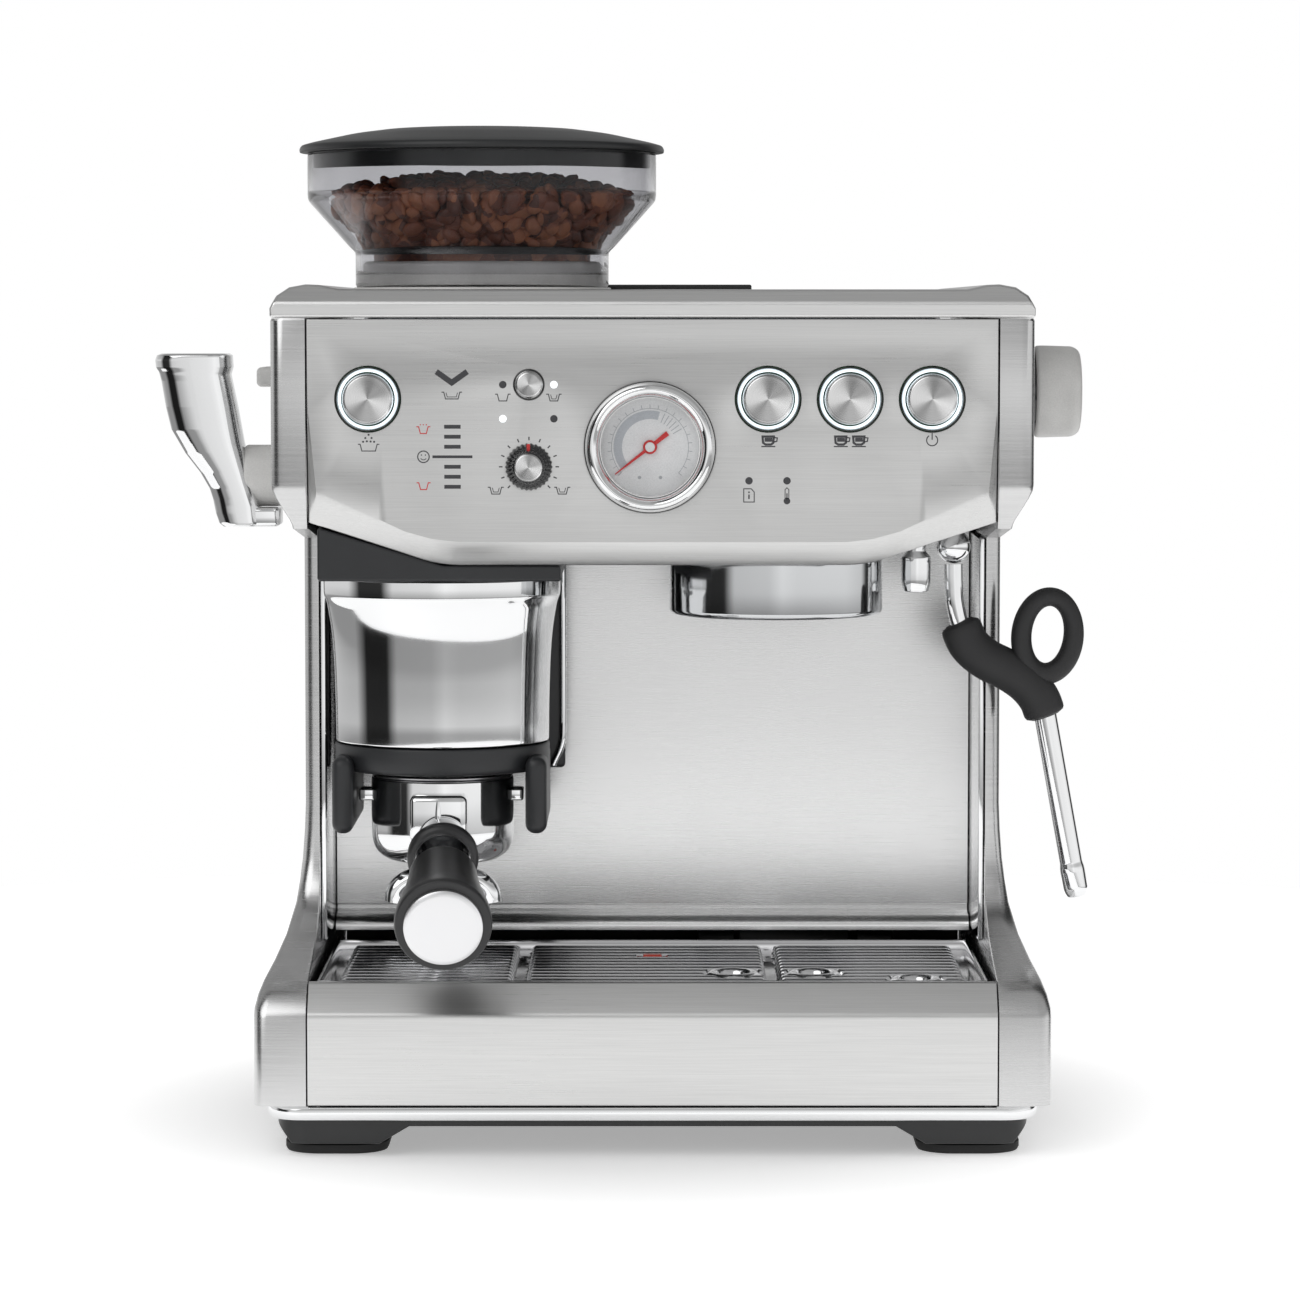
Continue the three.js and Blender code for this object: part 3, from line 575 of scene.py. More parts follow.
@dataclass(frozen=True)
class RadialBrushed:
    """A spun metal face: the streaks run round the centre, and two fans of painted highlight lighten its colour."""

    name: str
    centre: tuple[float, float, float]
    painted_fan_contrast: float = 0.24
    color: tuple[float, float, float] = (0.72, 0.72, 0.72)

    def material(self) -> bpy.types.Material:
        """Builds rings from the distance to the centre, and two bright fans of painted highlight, with painted shade
        between them, from the angle round it.
        """
        graph = Graph(self.name)
        local = graph.node("ShaderNodeVectorMath", {"operation": "SUBTRACT"}, {
            0: graph.place, 1: self.centre}).outputs[0]
        split = graph.node("ShaderNodeSeparateXYZ", {}, {0: local})
        across, up = Value(graph, split.outputs[0]), Value(graph, split.outputs[2])
        reach = (across * across + up * up) ** 0.5
        rings = graph.node("ShaderNodeTexNoise", {"noise_dimensions": "1D"}, {
            "W": reach * 2600.0, "Scale": 3.0, "Detail": 2.0})
        # painted highlight: the fans lift the base colour by the angle round the centre, in place of light caught by
        # the spun streaks
        angle = reach.math("ARCTAN2", up, across)
        fan = reach.math("COSINE", angle * 2.0 + 0.9) * 0.5 + 0.5
        second = reach.math("COSINE", angle * 5.0 + 2.0) * 0.5 + 0.5
        glow = (fan * fan * 0.8 + second * 0.2).clamped()
        ring = Value(graph, rings.outputs[0])
        dark = tuple(channel * (1 - self.painted_fan_contrast * 2.6) for channel in self.color)
        light = tuple(min(channel * 1.3, 1.0) for channel in self.color)
        graph.set(Base_Color=graph.ramp(glow * 0.85 + ring * 0.15, [(0.0, dark), (0.5, self.color), (1.0, light)]),
                  Metallic=1.0, Roughness=ring * 0.14 + 0.2)
        graph.bump(ring, 0.25, 0.00003)
        return graph.material


@dataclass(frozen=True)
class Polished:
    """Mirror chrome with faint smudges and a slow waviness."""

    name: str
    color: tuple[float, float, float] = (0.86, 0.865, 0.87)
    roughness: float = 0.05

    def material(self) -> bpy.types.Material:
        """Builds the chrome: clouds in the roughness, and a very shallow bump."""
        graph = Graph(self.name)
        clouds = graph.noise(14, (1, 1, 1), 4.0, 0.6)
        wipes = graph.noise(90, (1, 0.2, 0.4), 3.0, 0.6)
        low = tuple(channel * 0.97 for channel in self.color)
        graph.set(Base_Color=graph.ramp(clouds, [(0.3, low), (0.7, self.color)]), Metallic=1.0,
                  Roughness=(clouds * 0.05 + wipes * 0.03 + (self.roughness - 0.03)).clamped(0.015, 0.6))
        graph.bump(clouds, 0.05, 0.0004)
        return graph.material


@dataclass(frozen=True)
class Moulded:
    """Moulded plastic or rubber: a fine spark-eroded grain, faint wear and slight shade changes."""

    name: str
    color: tuple[float, float, float]
    roughness: float = 0.45
    grain: float = 0.3
    grain_size: float = 1800.0
    coat: float = 0.0

    def material(self) -> bpy.types.Material:
        """Builds the plastic: two noises drive the shade, the roughness and the grain."""
        graph = Graph(self.name)
        speckle = graph.noise(self.grain_size, (1, 1, 1), 2.0, 0.5)
        clouds = graph.noise(22, (1, 1, 1), 4.0, 0.6)
        dark = tuple(channel * 0.82 for channel in self.color)
        light = tuple(min(channel * 1.2 + 0.003, 1.0) for channel in self.color)
        graph.set(Base_Color=graph.ramp(clouds * 0.75 + speckle * 0.25, [(0.32, dark), (0.68, light)]),
                  Roughness=(clouds * 0.16 + speckle * 0.08 + (self.roughness - 0.12)).clamped(0.05, 1.0),
                  Coat_Weight=self.coat)
        graph.bump(speckle, self.grain, 0.00005)
        return graph.material


@dataclass(frozen=True)
class Clear:
    """Clear or smoked plastic or glass, with faint handling marks in its gloss."""

    name: str
    tint: tuple[float, float, float]
    roughness: float = 0.02
    ior: float = 1.46

    def material(self) -> bpy.types.Material:
        """Builds the clear shader; only its roughness and a slight bump vary."""
        graph = Graph(self.name)
        clouds = graph.noise(18, (1, 1, 1), 4.0, 0.6)
        graph.set(Base_Color=graph.ramp(clouds, [(0.3, tuple(c * 0.96 for c in self.tint)), (0.7, self.tint)]),
                  Roughness=(clouds * 0.03 + (self.roughness - 0.015)).clamped(0.0, 0.4),
                  IOR=self.ior, Transmission_Weight=1.0)
        graph.bump(clouds, 0.04, 0.0003)
        return graph.material


@dataclass(frozen=True)
class Lit:
    """A light guide that glows."""

    name: str
    color: tuple[float, float, float]
    strength: float

    def material(self) -> bpy.types.Material:
        """Builds the glow with a soft variation round the guide."""
        graph = Graph(self.name)
        clouds = graph.noise(160, (1, 1, 1), 2.0, 0.5)
        dim = tuple(channel * 0.88 for channel in self.color)
        graph.set(Base_Color=(0.82, 0.84, 0.85, 1.0), Roughness=clouds * 0.1 + 0.3,
                  Emission_Color=graph.ramp(clouds, [(0.3, dim), (0.7, self.color)]),
                  Emission_Strength=self.strength)
        return graph.material


@dataclass(frozen=True)
class Roast:
    """Roasted coffee beans: dark reddish brown, oily in patches, each bean its own shade."""

    name: str = "roasted_beans"

    def material(self) -> bpy.types.Material:
        """Builds the roast from cells about a bean wide and a fine skin pattern."""
        graph = Graph(self.name)
        cell = graph.node("ShaderNodeTexVoronoi", {}, {"Vector": graph.place, "Scale": 120.0})
        shade = Value(graph, graph.node("ShaderNodeSeparateColor", {}, {0: cell.outputs["Color"]}).outputs[0])
        skin = graph.noise(900, (1, 1, 1), 4.0, 0.65)
        tone = shade * 0.6 + skin * 0.4
        graph.set(Base_Color=graph.ramp(tone, [(0.2, (0.1, 0.026, 0.014)), (0.5, (0.28, 0.085, 0.042)),
                                               (0.8, (0.5, 0.19, 0.09))]),
                  Roughness=(skin * 0.4 + 0.22).clamped(0.2, 0.8), Coat_Weight=0.15)
        graph.bump(skin, 0.5, 0.0004)
        return graph.material


@dataclass(frozen=True)
class Board:
    """A green circuit board with its copper tracks."""

    name: str = "circuit_board"

    def material(self) -> bpy.types.Material:
        """Builds tracks from a brick pattern over the solder mask's cloudy green."""
        graph = Graph(self.name)
        clouds = graph.noise(60, (1, 1, 1), 3.0, 0.5)
        tracks = graph.node("ShaderNodeTexBrick", {}, {
            "Vector": graph.mapped((1, 1, 1), (math.pi / 2, 0, 0)), "Scale": 130.0, "Mortar Size": 0.03,
            "Color1": (0, 0, 0, 1), "Color2": (0, 0, 0, 1), "Mortar": (1, 1, 1, 1)})
        share = Value(graph, graph.node("ShaderNodeSeparateColor", {}, {0: tracks.outputs[0]}).outputs[0])
        mask = graph.ramp(clouds, [(0.3, (0.008, 0.06, 0.025)), (0.7, (0.014, 0.1, 0.04))])
        graph.set(Base_Color=graph.mixed(share, mask, (0.06, 0.22, 0.08)), Roughness=share * 0.1 + 0.3)
        graph.bump(share, 0.3, 0.00008)
        return graph.material


class Finishes:
    """Every finish on the machine, made once."""

    def __init__(self) -> None:
        """Builds the materials."""
        self.steel = Brushed("steel_brushed_across").material()
        self.column_steel = Brushed("steel_brushed_around", Grain.AROUND, (0.64, 0.64, 0.64), 0.26).material()
        self.tray_steel = Brushed("steel_brushed_tray", Grain.ACROSS, (0.66, 0.66, 0.655), 0.3).material()
        self.top_steel = Brushed("steel_brushed_top", Grain.ACROSS, (0.78, 0.78, 0.775), 0.32).material()
        self.splash = Brushed("steel_satin_splash", Grain.ACROSS, (0.82, 0.82, 0.82), 0.27, 0.01, 0.01).material()
        # painted shade: a darker copy of the brushed steel for the head's underside, where shade falls
        self.underside = Brushed("steel_underside_shaded", Grain.ACROSS, (0.4, 0.4, 0.4), 0.38).material()
        self.machined = Brushed("steel_machined", Grain.UPRIGHT, (0.5, 0.5, 0.51), 0.36).material()
        self.chrome = Polished("chrome").material()
        self.cap_chrome = Polished("chrome_cap", (0.8, 0.8, 0.81), 0.3).material()
        self.dark_chrome = Polished("chrome_dark", (0.62, 0.63, 0.64), 0.07).material()
        self.grille = Polished("chrome_grille", (0.7, 0.7, 0.71), 0.09).material()
        self.black = Moulded("plastic_black", (0.011, 0.0115, 0.012), 0.36).material()
        self.gloss_black = Moulded("plastic_gloss_black", (0.012, 0.012, 0.013), 0.16, 0.05, 1800, 0.3).material()
        self.lid_black = Moulded("plastic_lid", (0.016, 0.017, 0.018), 0.4, 0.12).material()
        self.grey = Moulded("plastic_grey", (0.66, 0.655, 0.64), 0.42, 0.2).material()
        self.rubber = Moulded("rubber_black", (0.017, 0.017, 0.018), 0.62, 0.5, 1400).material()
        self.foot_rubber = Moulded("rubber_foot", (0.007, 0.007, 0.007), 0.7, 0.5, 1200).material()
        self.white = Moulded("plastic_white", (0.8, 0.8, 0.8), 0.2, 0.06, 1500, 0.4).material()
        self.print_dark = Moulded("print_dark", (0.045, 0.045, 0.05), 0.45, 0.1).material()
        self.print_pale = Moulded("print_pale", (0.5, 0.52, 0.55), 0.45, 0.1).material()
        # partly painted shade: black plastic for the tamping housing, its dark colour also standing in for the shade
        # under the head
        self.housing_black_and_shade = Moulded("plastic_housing_and_shade", (0.017, 0.018, 0.02), 0.42, 0.3).material()
        self.handle_black = Moulded("handle_satin_black", (0.016, 0.016, 0.017), 0.34, 0.1).material()
        self.print_red = Moulded("print_red", (0.62, 0.03, 0.03), 0.4, 0.1).material()
        self.print_grey = Moulded("print_grey", (0.42, 0.43, 0.45), 0.45, 0.1).material()
        self.float_red = Moulded("plastic_red", (0.6, 0.04, 0.02), 0.3, 0.15).material()
        self.smoked = Clear("plastic_smoked", (0.78, 0.78, 0.8), 0.0, 1.3).material()
        self.tank = Clear("plastic_tank", (0.36, 0.37, 0.39), 0.08).material()
        self.glass = Clear("gauge_glass", (0.98, 0.985, 0.99), 0.0, 1.06).material()
        self.ring_light = Lit("ring_light", (0.8, 0.93, 1.0), 0.95).material()
        self.lamp_light = Lit("lamp_light", (0.9, 0.96, 1.0), 0.95).material()
        self.roast = Roast().material()
        self.board = Board().material()


# ---------------------------------------------------------------- the workshop


class Workshop:
    """Turns surfaces into Blender pieces, and dresses the CAD nodes that stay."""

    def __init__(self, finishes: Finishes) -> None:
        """Keeps the finishes and an empty list of pieces."""
        self.finishes = finishes
        self.made: list[bpy.types.Object] = []

    def piece(self, name: str, surface: Surface, material: bpy.types.Material, body: str = "machine",
              nodes: Sequence[str] = (), slot: str = "", sharp: float = 35.0) -> bpy.types.Object:
        """Makes one finished piece from a surface.

        Args:
            name: the piece's name.
            surface: its points in the machine's millimetres.
            material: its finish.
            body: the body that it rides on.
            nodes: the CAD nodes that it stands for.
            slot: a material slot name for a piece that stands for no node; not used.
            sharp: edges that turn more than this many degrees stay sharp.

        Returns:
            The object.
        """
        mesh = bpy.data.meshes.new(name)
        mesh.from_pydata((surface.points * MM + HOME).tolist(), [], surface.faces)
        return self.finish(name, mesh, material, body, nodes, slot, sharp)

    def finish(self, name: str, mesh: bpy.types.Mesh, material: bpy.types.Material, body: str,
               nodes: Sequence[str], slot: str, sharp: float) -> bpy.types.Object:
        """Merges doubles, turns the faces outward, sets the shading and puts the piece on its body."""
        bpy.ops.object.select_all(action="DESELECT")

        work = bmesh.new()
        work.from_mesh(mesh)
        bmesh.ops.remove_doubles(work, verts=work.verts, dist=2e-6)
        bmesh.ops.recalc_face_normals(work, faces=work.faces)
        work.to_mesh(mesh)
        work.free()
        mesh.shade_smooth()
        mesh.set_sharp_from_angle(angle=math.radians(sharp))
        mesh.materials.append(material)
        made = bpy.data.objects.new(name, mesh)
        bpy.context.scene.collection.objects.link(made)
        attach(made, body)
        if nodes:
            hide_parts(*nodes)
        self.made.append(made)
        LOG.info("made %s with %d faces", name, len(mesh.polygons))
        return made

    def refined(self, node: str, material: bpy.types.Material, body: str = "machine", width: float = 0.6,
                segments: int = 3, sharp: float = 35.0) -> bpy.types.Object:
        """Copies a CAD node with its doubles merged, and rounds its edges.

        Args:
            node: the CAD node, which the copy replaces.
            material: its finish.
            body: the body that it rides on.
            width: the edge radius in millimetres.
            segments: pieces in each rounded edge.
            sharp: only edges that turn more than this are rounded.

        Returns:
            The object.
        """

        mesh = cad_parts[node].data.copy()
        mesh.materials.clear()
        work = bmesh.new()
        work.from_mesh(mesh)
        bmesh.ops.remove_doubles(work, verts=work.verts, dist=5e-6)
        bmesh.ops.dissolve_limit(work, angle_limit=math.radians(0.6), verts=work.verts, edges=work.edges)
        work.to_mesh(mesh)
        work.free()
        made = self.finish(f"{node}_fine", mesh, material, body, (node,), "", sharp)
        rounding = made.modifiers.new("rounding", "BEVEL")
        rounding.width = width * MM
        rounding.segments = segments
        rounding.limit_method = "ANGLE"
        rounding.angle_limit = math.radians(sharp)
        rounding.harden_normals = True
        return made

    def dress(self, node: str, material: bpy.types.Material) -> None:
        """Gives a CAD node that stays a better finish."""
        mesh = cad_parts[node].data
        if not mesh.materials:
            mesh.materials.append(material)
        for number in range(len(mesh.materials)):
            mesh.materials[number] = material
        LOG.info("dressed %s", node)


# ---------------------------------------------------------------- base and casing


def head_line(x: Array) -> Array:
    """The head's lower edge across the machine: level in the middle, rising to the sides in a soft bend."""
    return 238.0 + np.interp(np.abs(x), [0, 78, 83, 88, 93, 98, 138.2], [0, 0, 0.3, 1.1, 2.4, 4.1, 17.2])


@dataclass
class Base:
    """The base pan, its feet and the chrome band above them."""

    shop: Workshop
    foot_profile: Profile = ((3.2, 0.0), (0.7, 0.5), (0.0, 1.8), (0.0, 4.0), (0.8, 4.4), (0.8, 5.1))
    trim_half: float = 156.0
    trim_front: float = -151.5
    trim_rear: float = 158.0
    trim_corner: float = 16.0

    def build(self) -> None:
        """Builds and dresses the base."""
        finishes = self.shop.finishes
        self.shop.refined("base_pan", finishes.black, width=1.6)
        for corner in ("front_left", "front_right", "rear_left", "rear_right"):
            node = f"foot_{corner}"
            self.shop.piece(f"{node}_fine", self.foot(NodeBox.of(node)), finishes.foot_rubber, nodes=(node,))
        self.shop.piece("base_trim_fine", self.trim(), finishes.chrome, nodes=("base_trim",))

    def foot(self, box: NodeBox) -> Surface:
        """A pad: its rounded outline moved inward by the profile's first number at each height."""
        outline = rounded_outline(box.size[0], box.size[1], 14.0, 10)
        rings = np.stack([np.column_stack([inset(outline, step), np.full(len(outline), height)])
                          for step, height in self.foot_profile])
        return grid(rings, cap_start=True, cap_end=True).moved((*box.centre[:2], 0.0))

    def trim(self) -> Surface:
        """A U-shaped band: path + outward normal times u, height v, with (u, v) round a crowned section."""
        box = NodeBox.of("base_trim")
        half, corner = self.trim_half, self.trim_corner
        angle = np.linspace(np.pi, 1.5 * np.pi, 12)
        left = np.stack([-half + corner + corner * np.cos(angle), self.trim_front + corner + corner * np.sin(angle)],
                        -1)
        right = np.stack([-left[::-1, 0], left[::-1, 1]], axis=-1)
        path = np.vstack([[(-half, self.trim_rear)], left, right, [(half, self.trim_rear)]])
        steps = np.gradient(path, axis=0)
        normal = np.stack([steps[:, 1], -steps[:, 0]], axis=-1)
        normal /= np.linalg.norm(normal, axis=1, keepdims=True)
        section = filleted([(-3.6, box.low[2]), (-0.9, box.low[2], 1.2), (0.0, box.centre[2], 3.0),
                            (-0.9, box.high[2], 1.2), (-3.6, box.high[2])])
        points = np.concatenate([path[:, None] + normal[:, None] * section[None, :, :1],
                                 np.broadcast_to(section[None, :, 1:], (len(path), len(section), 1))], axis=-1)
        return grid(points, cap_start=True, cap_end=True)


@dataclass
class Casing:
    """The side panels, splash panel, head, top cover, back cover and cup tray."""

    shop: Workshop
    rounding: float = 5.5
    splash_half: float = 135.9
    return_half: float = 137.1
    return_thickness: float = 2.1
    levels: tuple[tuple[float, float, float], ...] = (
        (22, 160, -155), (57.5, 160, -155), (61, 159.8, -153.4), (66, 158.6, -149.8), (71, 156.6, -144),
        (76, 154.1, -121), (83, 151.4, -95), (94, 148.6, -78.2), (103, 147.3, -73), (112, 146.2, -71),
        (124, 145.4, -69.4), (135, 145, -69), (190, 145, -69), (246, 145, -69), (252.5, 145, -131.5),
        (254, 145.2, -132.8), (256, 146, -133.6), (259, 147.8, -135.2), (262, 149.5, -136.8), (265, 151.2, -138.3),
        (268, 152.6, -139.5),
        (270.5, 153, -140),
        (300, 153, -140), (336, 153, -140), (337, 152.6, -139.6))

    def build(self) -> None:
        """Builds and dresses the casing."""
        shop, finishes = self.shop, self.shop.finishes
        for side, node in ((-1, "left_side_panel"), (1, "right_side_panel")):
            shop.piece(f"{node}_fine", self.side_panel(side, NodeBox.of(node)), finishes.column_steel, nodes=(node,),
                       sharp=28)
        shop.piece("splash_panel_fine", self.splash(NodeBox.of("splash_panel")), finishes.splash,
                   nodes=("splash_panel",), sharp=30)
        middle, thin = self.return_half, self.return_thickness / 2
        returns = [rounded_block((side * middle - thin, -68.8, 77.5), (side * middle + thin, -5.2, 245.8),
                                 0.5) for side in (-1, 1)]
        shop.piece("splash_returns", Surface.joined(*returns), finishes.chrome, slot="stainless")
        shop.refined("back_cover", finishes.black, width=1.0)
        shop.refined("power_inlet", finishes.black, width=0.4)
        shop.refined("top_cover", finishes.top_steel, width=1.2, sharp=32)
        shop.refined("cup_tray", finishes.tray_steel, width=0.9)
        shop.piece("head_underside_fine", self.underside(), finishes.underside, nodes=("head_underside",))

    def side_panel(self, side: int, box: NodeBox) -> Surface:
        """A stack of level rings; width and front edge follow the height, and the outer front corner is round.

        Args:
            side: -1 for the left panel, 1 for the right.
            box: the CAD node's box, which gives the inner face and the rear edge.

        Returns:
            The panel.
        """
        inner, rear = (box.high[0] if side < 0 else -box.low[0]), box.high[1]
        inner = abs(inner)
        z, outer, front = (np.array(column)[:, None] for column in zip(*self.levels))
        t = np.linspace(0, np.pi / 2, 9)[None, :]
        corner_x = outer - self.rounding + self.rounding * np.sin(t)
        corner_y = front + self.rounding - self.rounding * np.cos(t)
        soft = 1.2
        xs = np.hstack([inner + 0 * z, inner + 0 * z + soft * 0.3, corner_x, outer, outer - soft, inner + 0 * z])
        ys = np.hstack([front + soft, front, corner_y, rear - soft + 0 * z, rear + 0 * z, rear + 0 * z])
        points = np.stack([side * xs, ys, np.broadcast_to(z, xs.shape)], axis=-1)
        return grid(points, cap_start=True, cap_end=True)

    def splash(self, box: NodeBox) -> Surface:
        """The splash panel: an upright sheet that ends in a groove and a rounded rail above the tray."""
        front, low, high = box.high[1] - 12.5, box.low[2], box.high[2]
        section = filleted([
            (front + 10, high), (front + 10, low + 10.4, 0.4), (front + 11.2, low + 9.6), (front + 11.2, low + 8.2),
            (front + 9.4, low + 7.4, 0.5),
            (front + 3.4, low + 6.6, 3.2), (front, low + 3.4, 2.6), (front, low + 0.2, 0.3),
            (front + 1.2, low + 0.2, 0.3), (front + 1.4, low + 2.6, 1.6),
            (front + 4.4, low + 5.0, 1.6), (front + 12.4, low + 5.6), (front + 12.4, high)], 6)
        rings = [np.column_stack([np.full(len(section), place), section]) for place in (-self.splash_half,
                                                                                        self.splash_half)]
        return grid(np.stack(rings), cap_start=True, cap_end=True)

    def underside(self) -> Surface:
        """The head's underside: a sheet whose line across the machine is carried from front to back."""
        box = NodeBox.of("head_underside")
        across = np.concatenate([np.linspace(-box.high[0], -78, 24), np.linspace(78, box.high[0], 24)])
        line = np.column_stack([across, head_line(across) + 0.5])
        front, rear = -131.0, box.high[1]
        section = np.vstack([line, line[::-1] + (0, 2.6)])
        ring = np.stack([section[:, 0], 0 * section[:, 0], section[:, 1]], axis=-1)
        return grid(np.stack([ring + (0, front, 0), ring + (0, rear, 0)]), cap_start=True, cap_end=True)


# ---------------------------------------------------------------- control panel


@dataclass
class ControlPanel:
    """The front panel with its openings, lit rings, buttons, dials, gauge and printed marks."""

    shop: Workshop
    ring_outer: float = 12.8
    ring_inner: float = 10.9
    cap_radius: float = 10.2
    lean: float = 7.0
    half: float = 138.2
    button_nodes: tuple[tuple[str, str], ...] = (
        ("dose_button", "dose_press"), ("one_cup_button", "one_cup_press"),
        ("two_cup_button", "two_cup_press"), ("power_button", "power_press"))

    def build(self) -> None:
        """Builds and dresses the panel."""
        self.front = NodeBox.of("control_panel").low[1]
        self.centres = {node: NodeBox.of(node).centre for node, _ in self.button_nodes}
        self.filter_centre = NodeBox.of("filter_button").centre
        self.dose_centre = NodeBox.of("dose_dial").centre
        self.gauge_centre = NodeBox.of("gauge_housing").centre
        shop, finishes = self.shop, self.shop.finishes
        shop.piece("control_panel_fine", self.panel(), finishes.steel, nodes=("control_panel",), sharp=26)
        self.rings_and_lamps()
        self.buttons()
        self.dose_dial()
        self.gauge()
        Markings(shop, self).build()
        shop.dress("control_board", finishes.board)

    def crease_line(self, x: Array) -> Array:
        """The line where the panel starts to lean back."""
        return 247.6 + np.interp(np.abs(x), [0, 77, 88, 99, self.half], [0, 0, 1.2, 4.2, 22.4])

    def bend(self, points: Array) -> Array:
        """Leans what lies below the crease back, by its share of the way down to the lower edge."""
        x, z = points[:, 0], points[:, 2]
        crease, bottom = self.crease_line(x), head_line(x)
        share = np.clip((crease - z) / (crease - bottom), 0, 1.05)
        points[:, 1] += self.lean * share**1.25
        return points

    def panel(self) -> Surface:
        """The plate with its round openings, leaning back below the crease."""
        across = np.concatenate([np.linspace(-self.half, -78, 18), np.linspace(-60, 60, 9),
                                 np.linspace(78, self.half, 18)])
        lower = np.column_stack([across, head_line(across)])
        top = 336.7
        outer = np.vstack([lower, [(self.half, 300), (self.half, top), (-self.half, top), (-self.half, 300)]])
        holes = [circle(c[0], c[2], self.ring_outer + 0.35, 72) for c in self.centres.values()]
        holes.append(circle(self.filter_centre[0], self.filter_centre[2], 6.0, 48))
        holes.append(circle(self.gauge_centre[0], self.gauge_centre[2], 24.4, 96))
        shares = (0.0, 0.25, 0.5, 0.75)
        crease = np.column_stack([across, self.crease_line(across)])
        lines = [[crease[place] + (lower[place] - crease[place]) * share for place in range(len(across))] for share in shares]
        creases = [(line[place], line[place + 1]) for line in lines for place in range(1, len(across) - 2)]
        flat = plate(outer, holes, 3.0, 0.45, creases)
        return flat.turned(FACING_FRONT).moved((0, self.front, 0)).bent(self.bend)

    def rings_and_lamps(self) -> None:
        """The lit rings, each in a thin dark bezel, and the small lamps."""
        shop, finishes = self.shop, self.shop.finishes
        ring = revolved([(self.ring_inner, 0), (self.ring_inner, 5.2, 0.5), (self.ring_outer - 1.0, 5.6, 0.8),
                         (self.ring_outer - 0.6, 0)], 96, closed=True).turned(FACING_FRONT)
        edge = revolved([(self.ring_outer - 0.5, 0), (self.ring_outer - 0.55, 5.2, 0.2), (self.ring_outer, 4.9, 0.3),
                         (self.ring_outer, 0)], 96, closed=True).turned(FACING_FRONT)
        y = self.front + 3.6
        centres = [(c[0], y, c[2]) for c in self.centres.values()]
        lit = Surface.joined(*[ring.moved(centre) for centre in centres])
        shop.piece("light_guide_rings", lit, finishes.ring_light, nodes=("light_guide",))
        dark = Surface.joined(*[edge.moved(centre) for centre in centres])
        shop.piece("button_bezels", dark, finishes.gloss_black, slot="black_plastic")
        lamp = revolved([(0, 0), (1.5, 0), (1.5, 0.25, 0.1), (1.1, 0.5, 0.2), (0, 0.55)], 24).turned(FACING_FRONT)
        fx, fz = self.filter_centre[0], self.filter_centre[2]
        lit_places = [(fx + 10, fz), (fx - 10.4, fz - 13.6)]
        dark_places = [(fx - 10.4, fz), (fx + 10, fz - 13.6), (38.6, 272.2), (53.8, 272.2)]
        for name, places, material, slot in (
                ("lit_lamps", lit_places, finishes.lamp_light, "light_plastic"),
                ("dark_lamps", dark_places, finishes.print_dark, "black_plastic")):
            dots = Surface.joined(*[lamp.moved((x, self.front, z)) for x, z in places])
            shop.piece(name, dots, material, slot=slot)

    def buttons(self) -> None:
        """The spun caps: a flat face with a fine chamfer and a dished middle."""
        shop = self.shop
        for node, body in self.button_nodes:
            centre, box = self.centres[node], NodeBox.of(node)
            deep = box.size[1]
            cap = revolved([(0, 0), (self.cap_radius, 0), (self.cap_radius, deep - 1.5, 0.3),
                            (self.cap_radius - 1.1, deep - 0.3, 0.4),
                            (5, deep - 0.55, 3), (0, deep - 0.8)], 96)
            place = (centre[0], box.high[1], centre[2])
            finish = RadialBrushed(f"{node}_spun", tuple(np.array(place) * MM + HOME)).material()
            shop.piece(f"{node}_cap", cap.turned(FACING_FRONT).moved(place), finish, body, (node,))
        box = NodeBox.of("filter_button")
        small = revolved([(0, 0), (5.6, 0), (5.6, 7.2, 0.3), (4.7, 8.2, 0.5), (0, 8.4)], 64)
        place = (box.centre[0], box.high[1], box.centre[2])
        finish = RadialBrushed("filter_button_spun", tuple(np.array(place) * MM + HOME)).material()
        shop.piece("filter_button_cap", small.turned(FACING_FRONT).moved(place), finish, "filter_press",
                   ("filter_button",))
        seat = revolved([(5.65, 0), (5.65, 4.6, 0.2), (6.3, 4.3, 0.3), (6.3, 0)], 64, closed=True)
        shop.piece("filter_button_seat", seat.turned(FACING_FRONT).moved((place[0], self.front + 3.9, place[2])),
                   shop.finishes.gloss_black, slot="black_plastic")

    def dose_dial(self) -> None:
        """The dose dial: a skirt with fine flutes, radius + 0.22 cos(30 a), and a spun cap in front."""
        shop, finishes = self.shop, self.shop.finishes
        box = NodeBox.of("dose_dial")
        skirt = revolved([(0, 7.4), (9.1, 7.4, 0.2), (9.35, 8.6, 0.4), (9.2, 10.6, 0.6), (8.0, 12.6, 1.0),
                          (6.9, 13.2, 0.4),
                          (6.6, 18.4, 0.6), (5.6, 19.2, 0.4), (0, 19.2)], 240)

        def fluted(points: Array) -> Array:
            """Adds the flutes where the skirt's side stands."""
            radius = np.hypot(points[:, 0], points[:, 1])
            angle = np.arctan2(points[:, 1], points[:, 0])
            wave = 0.22 * np.cos(30 * angle) * ((radius > 6.2) & (points[:, 2] > 7.6))
            points[:, :2] *= (1 + wave / np.maximum(radius, 1))[:, None]
            return points

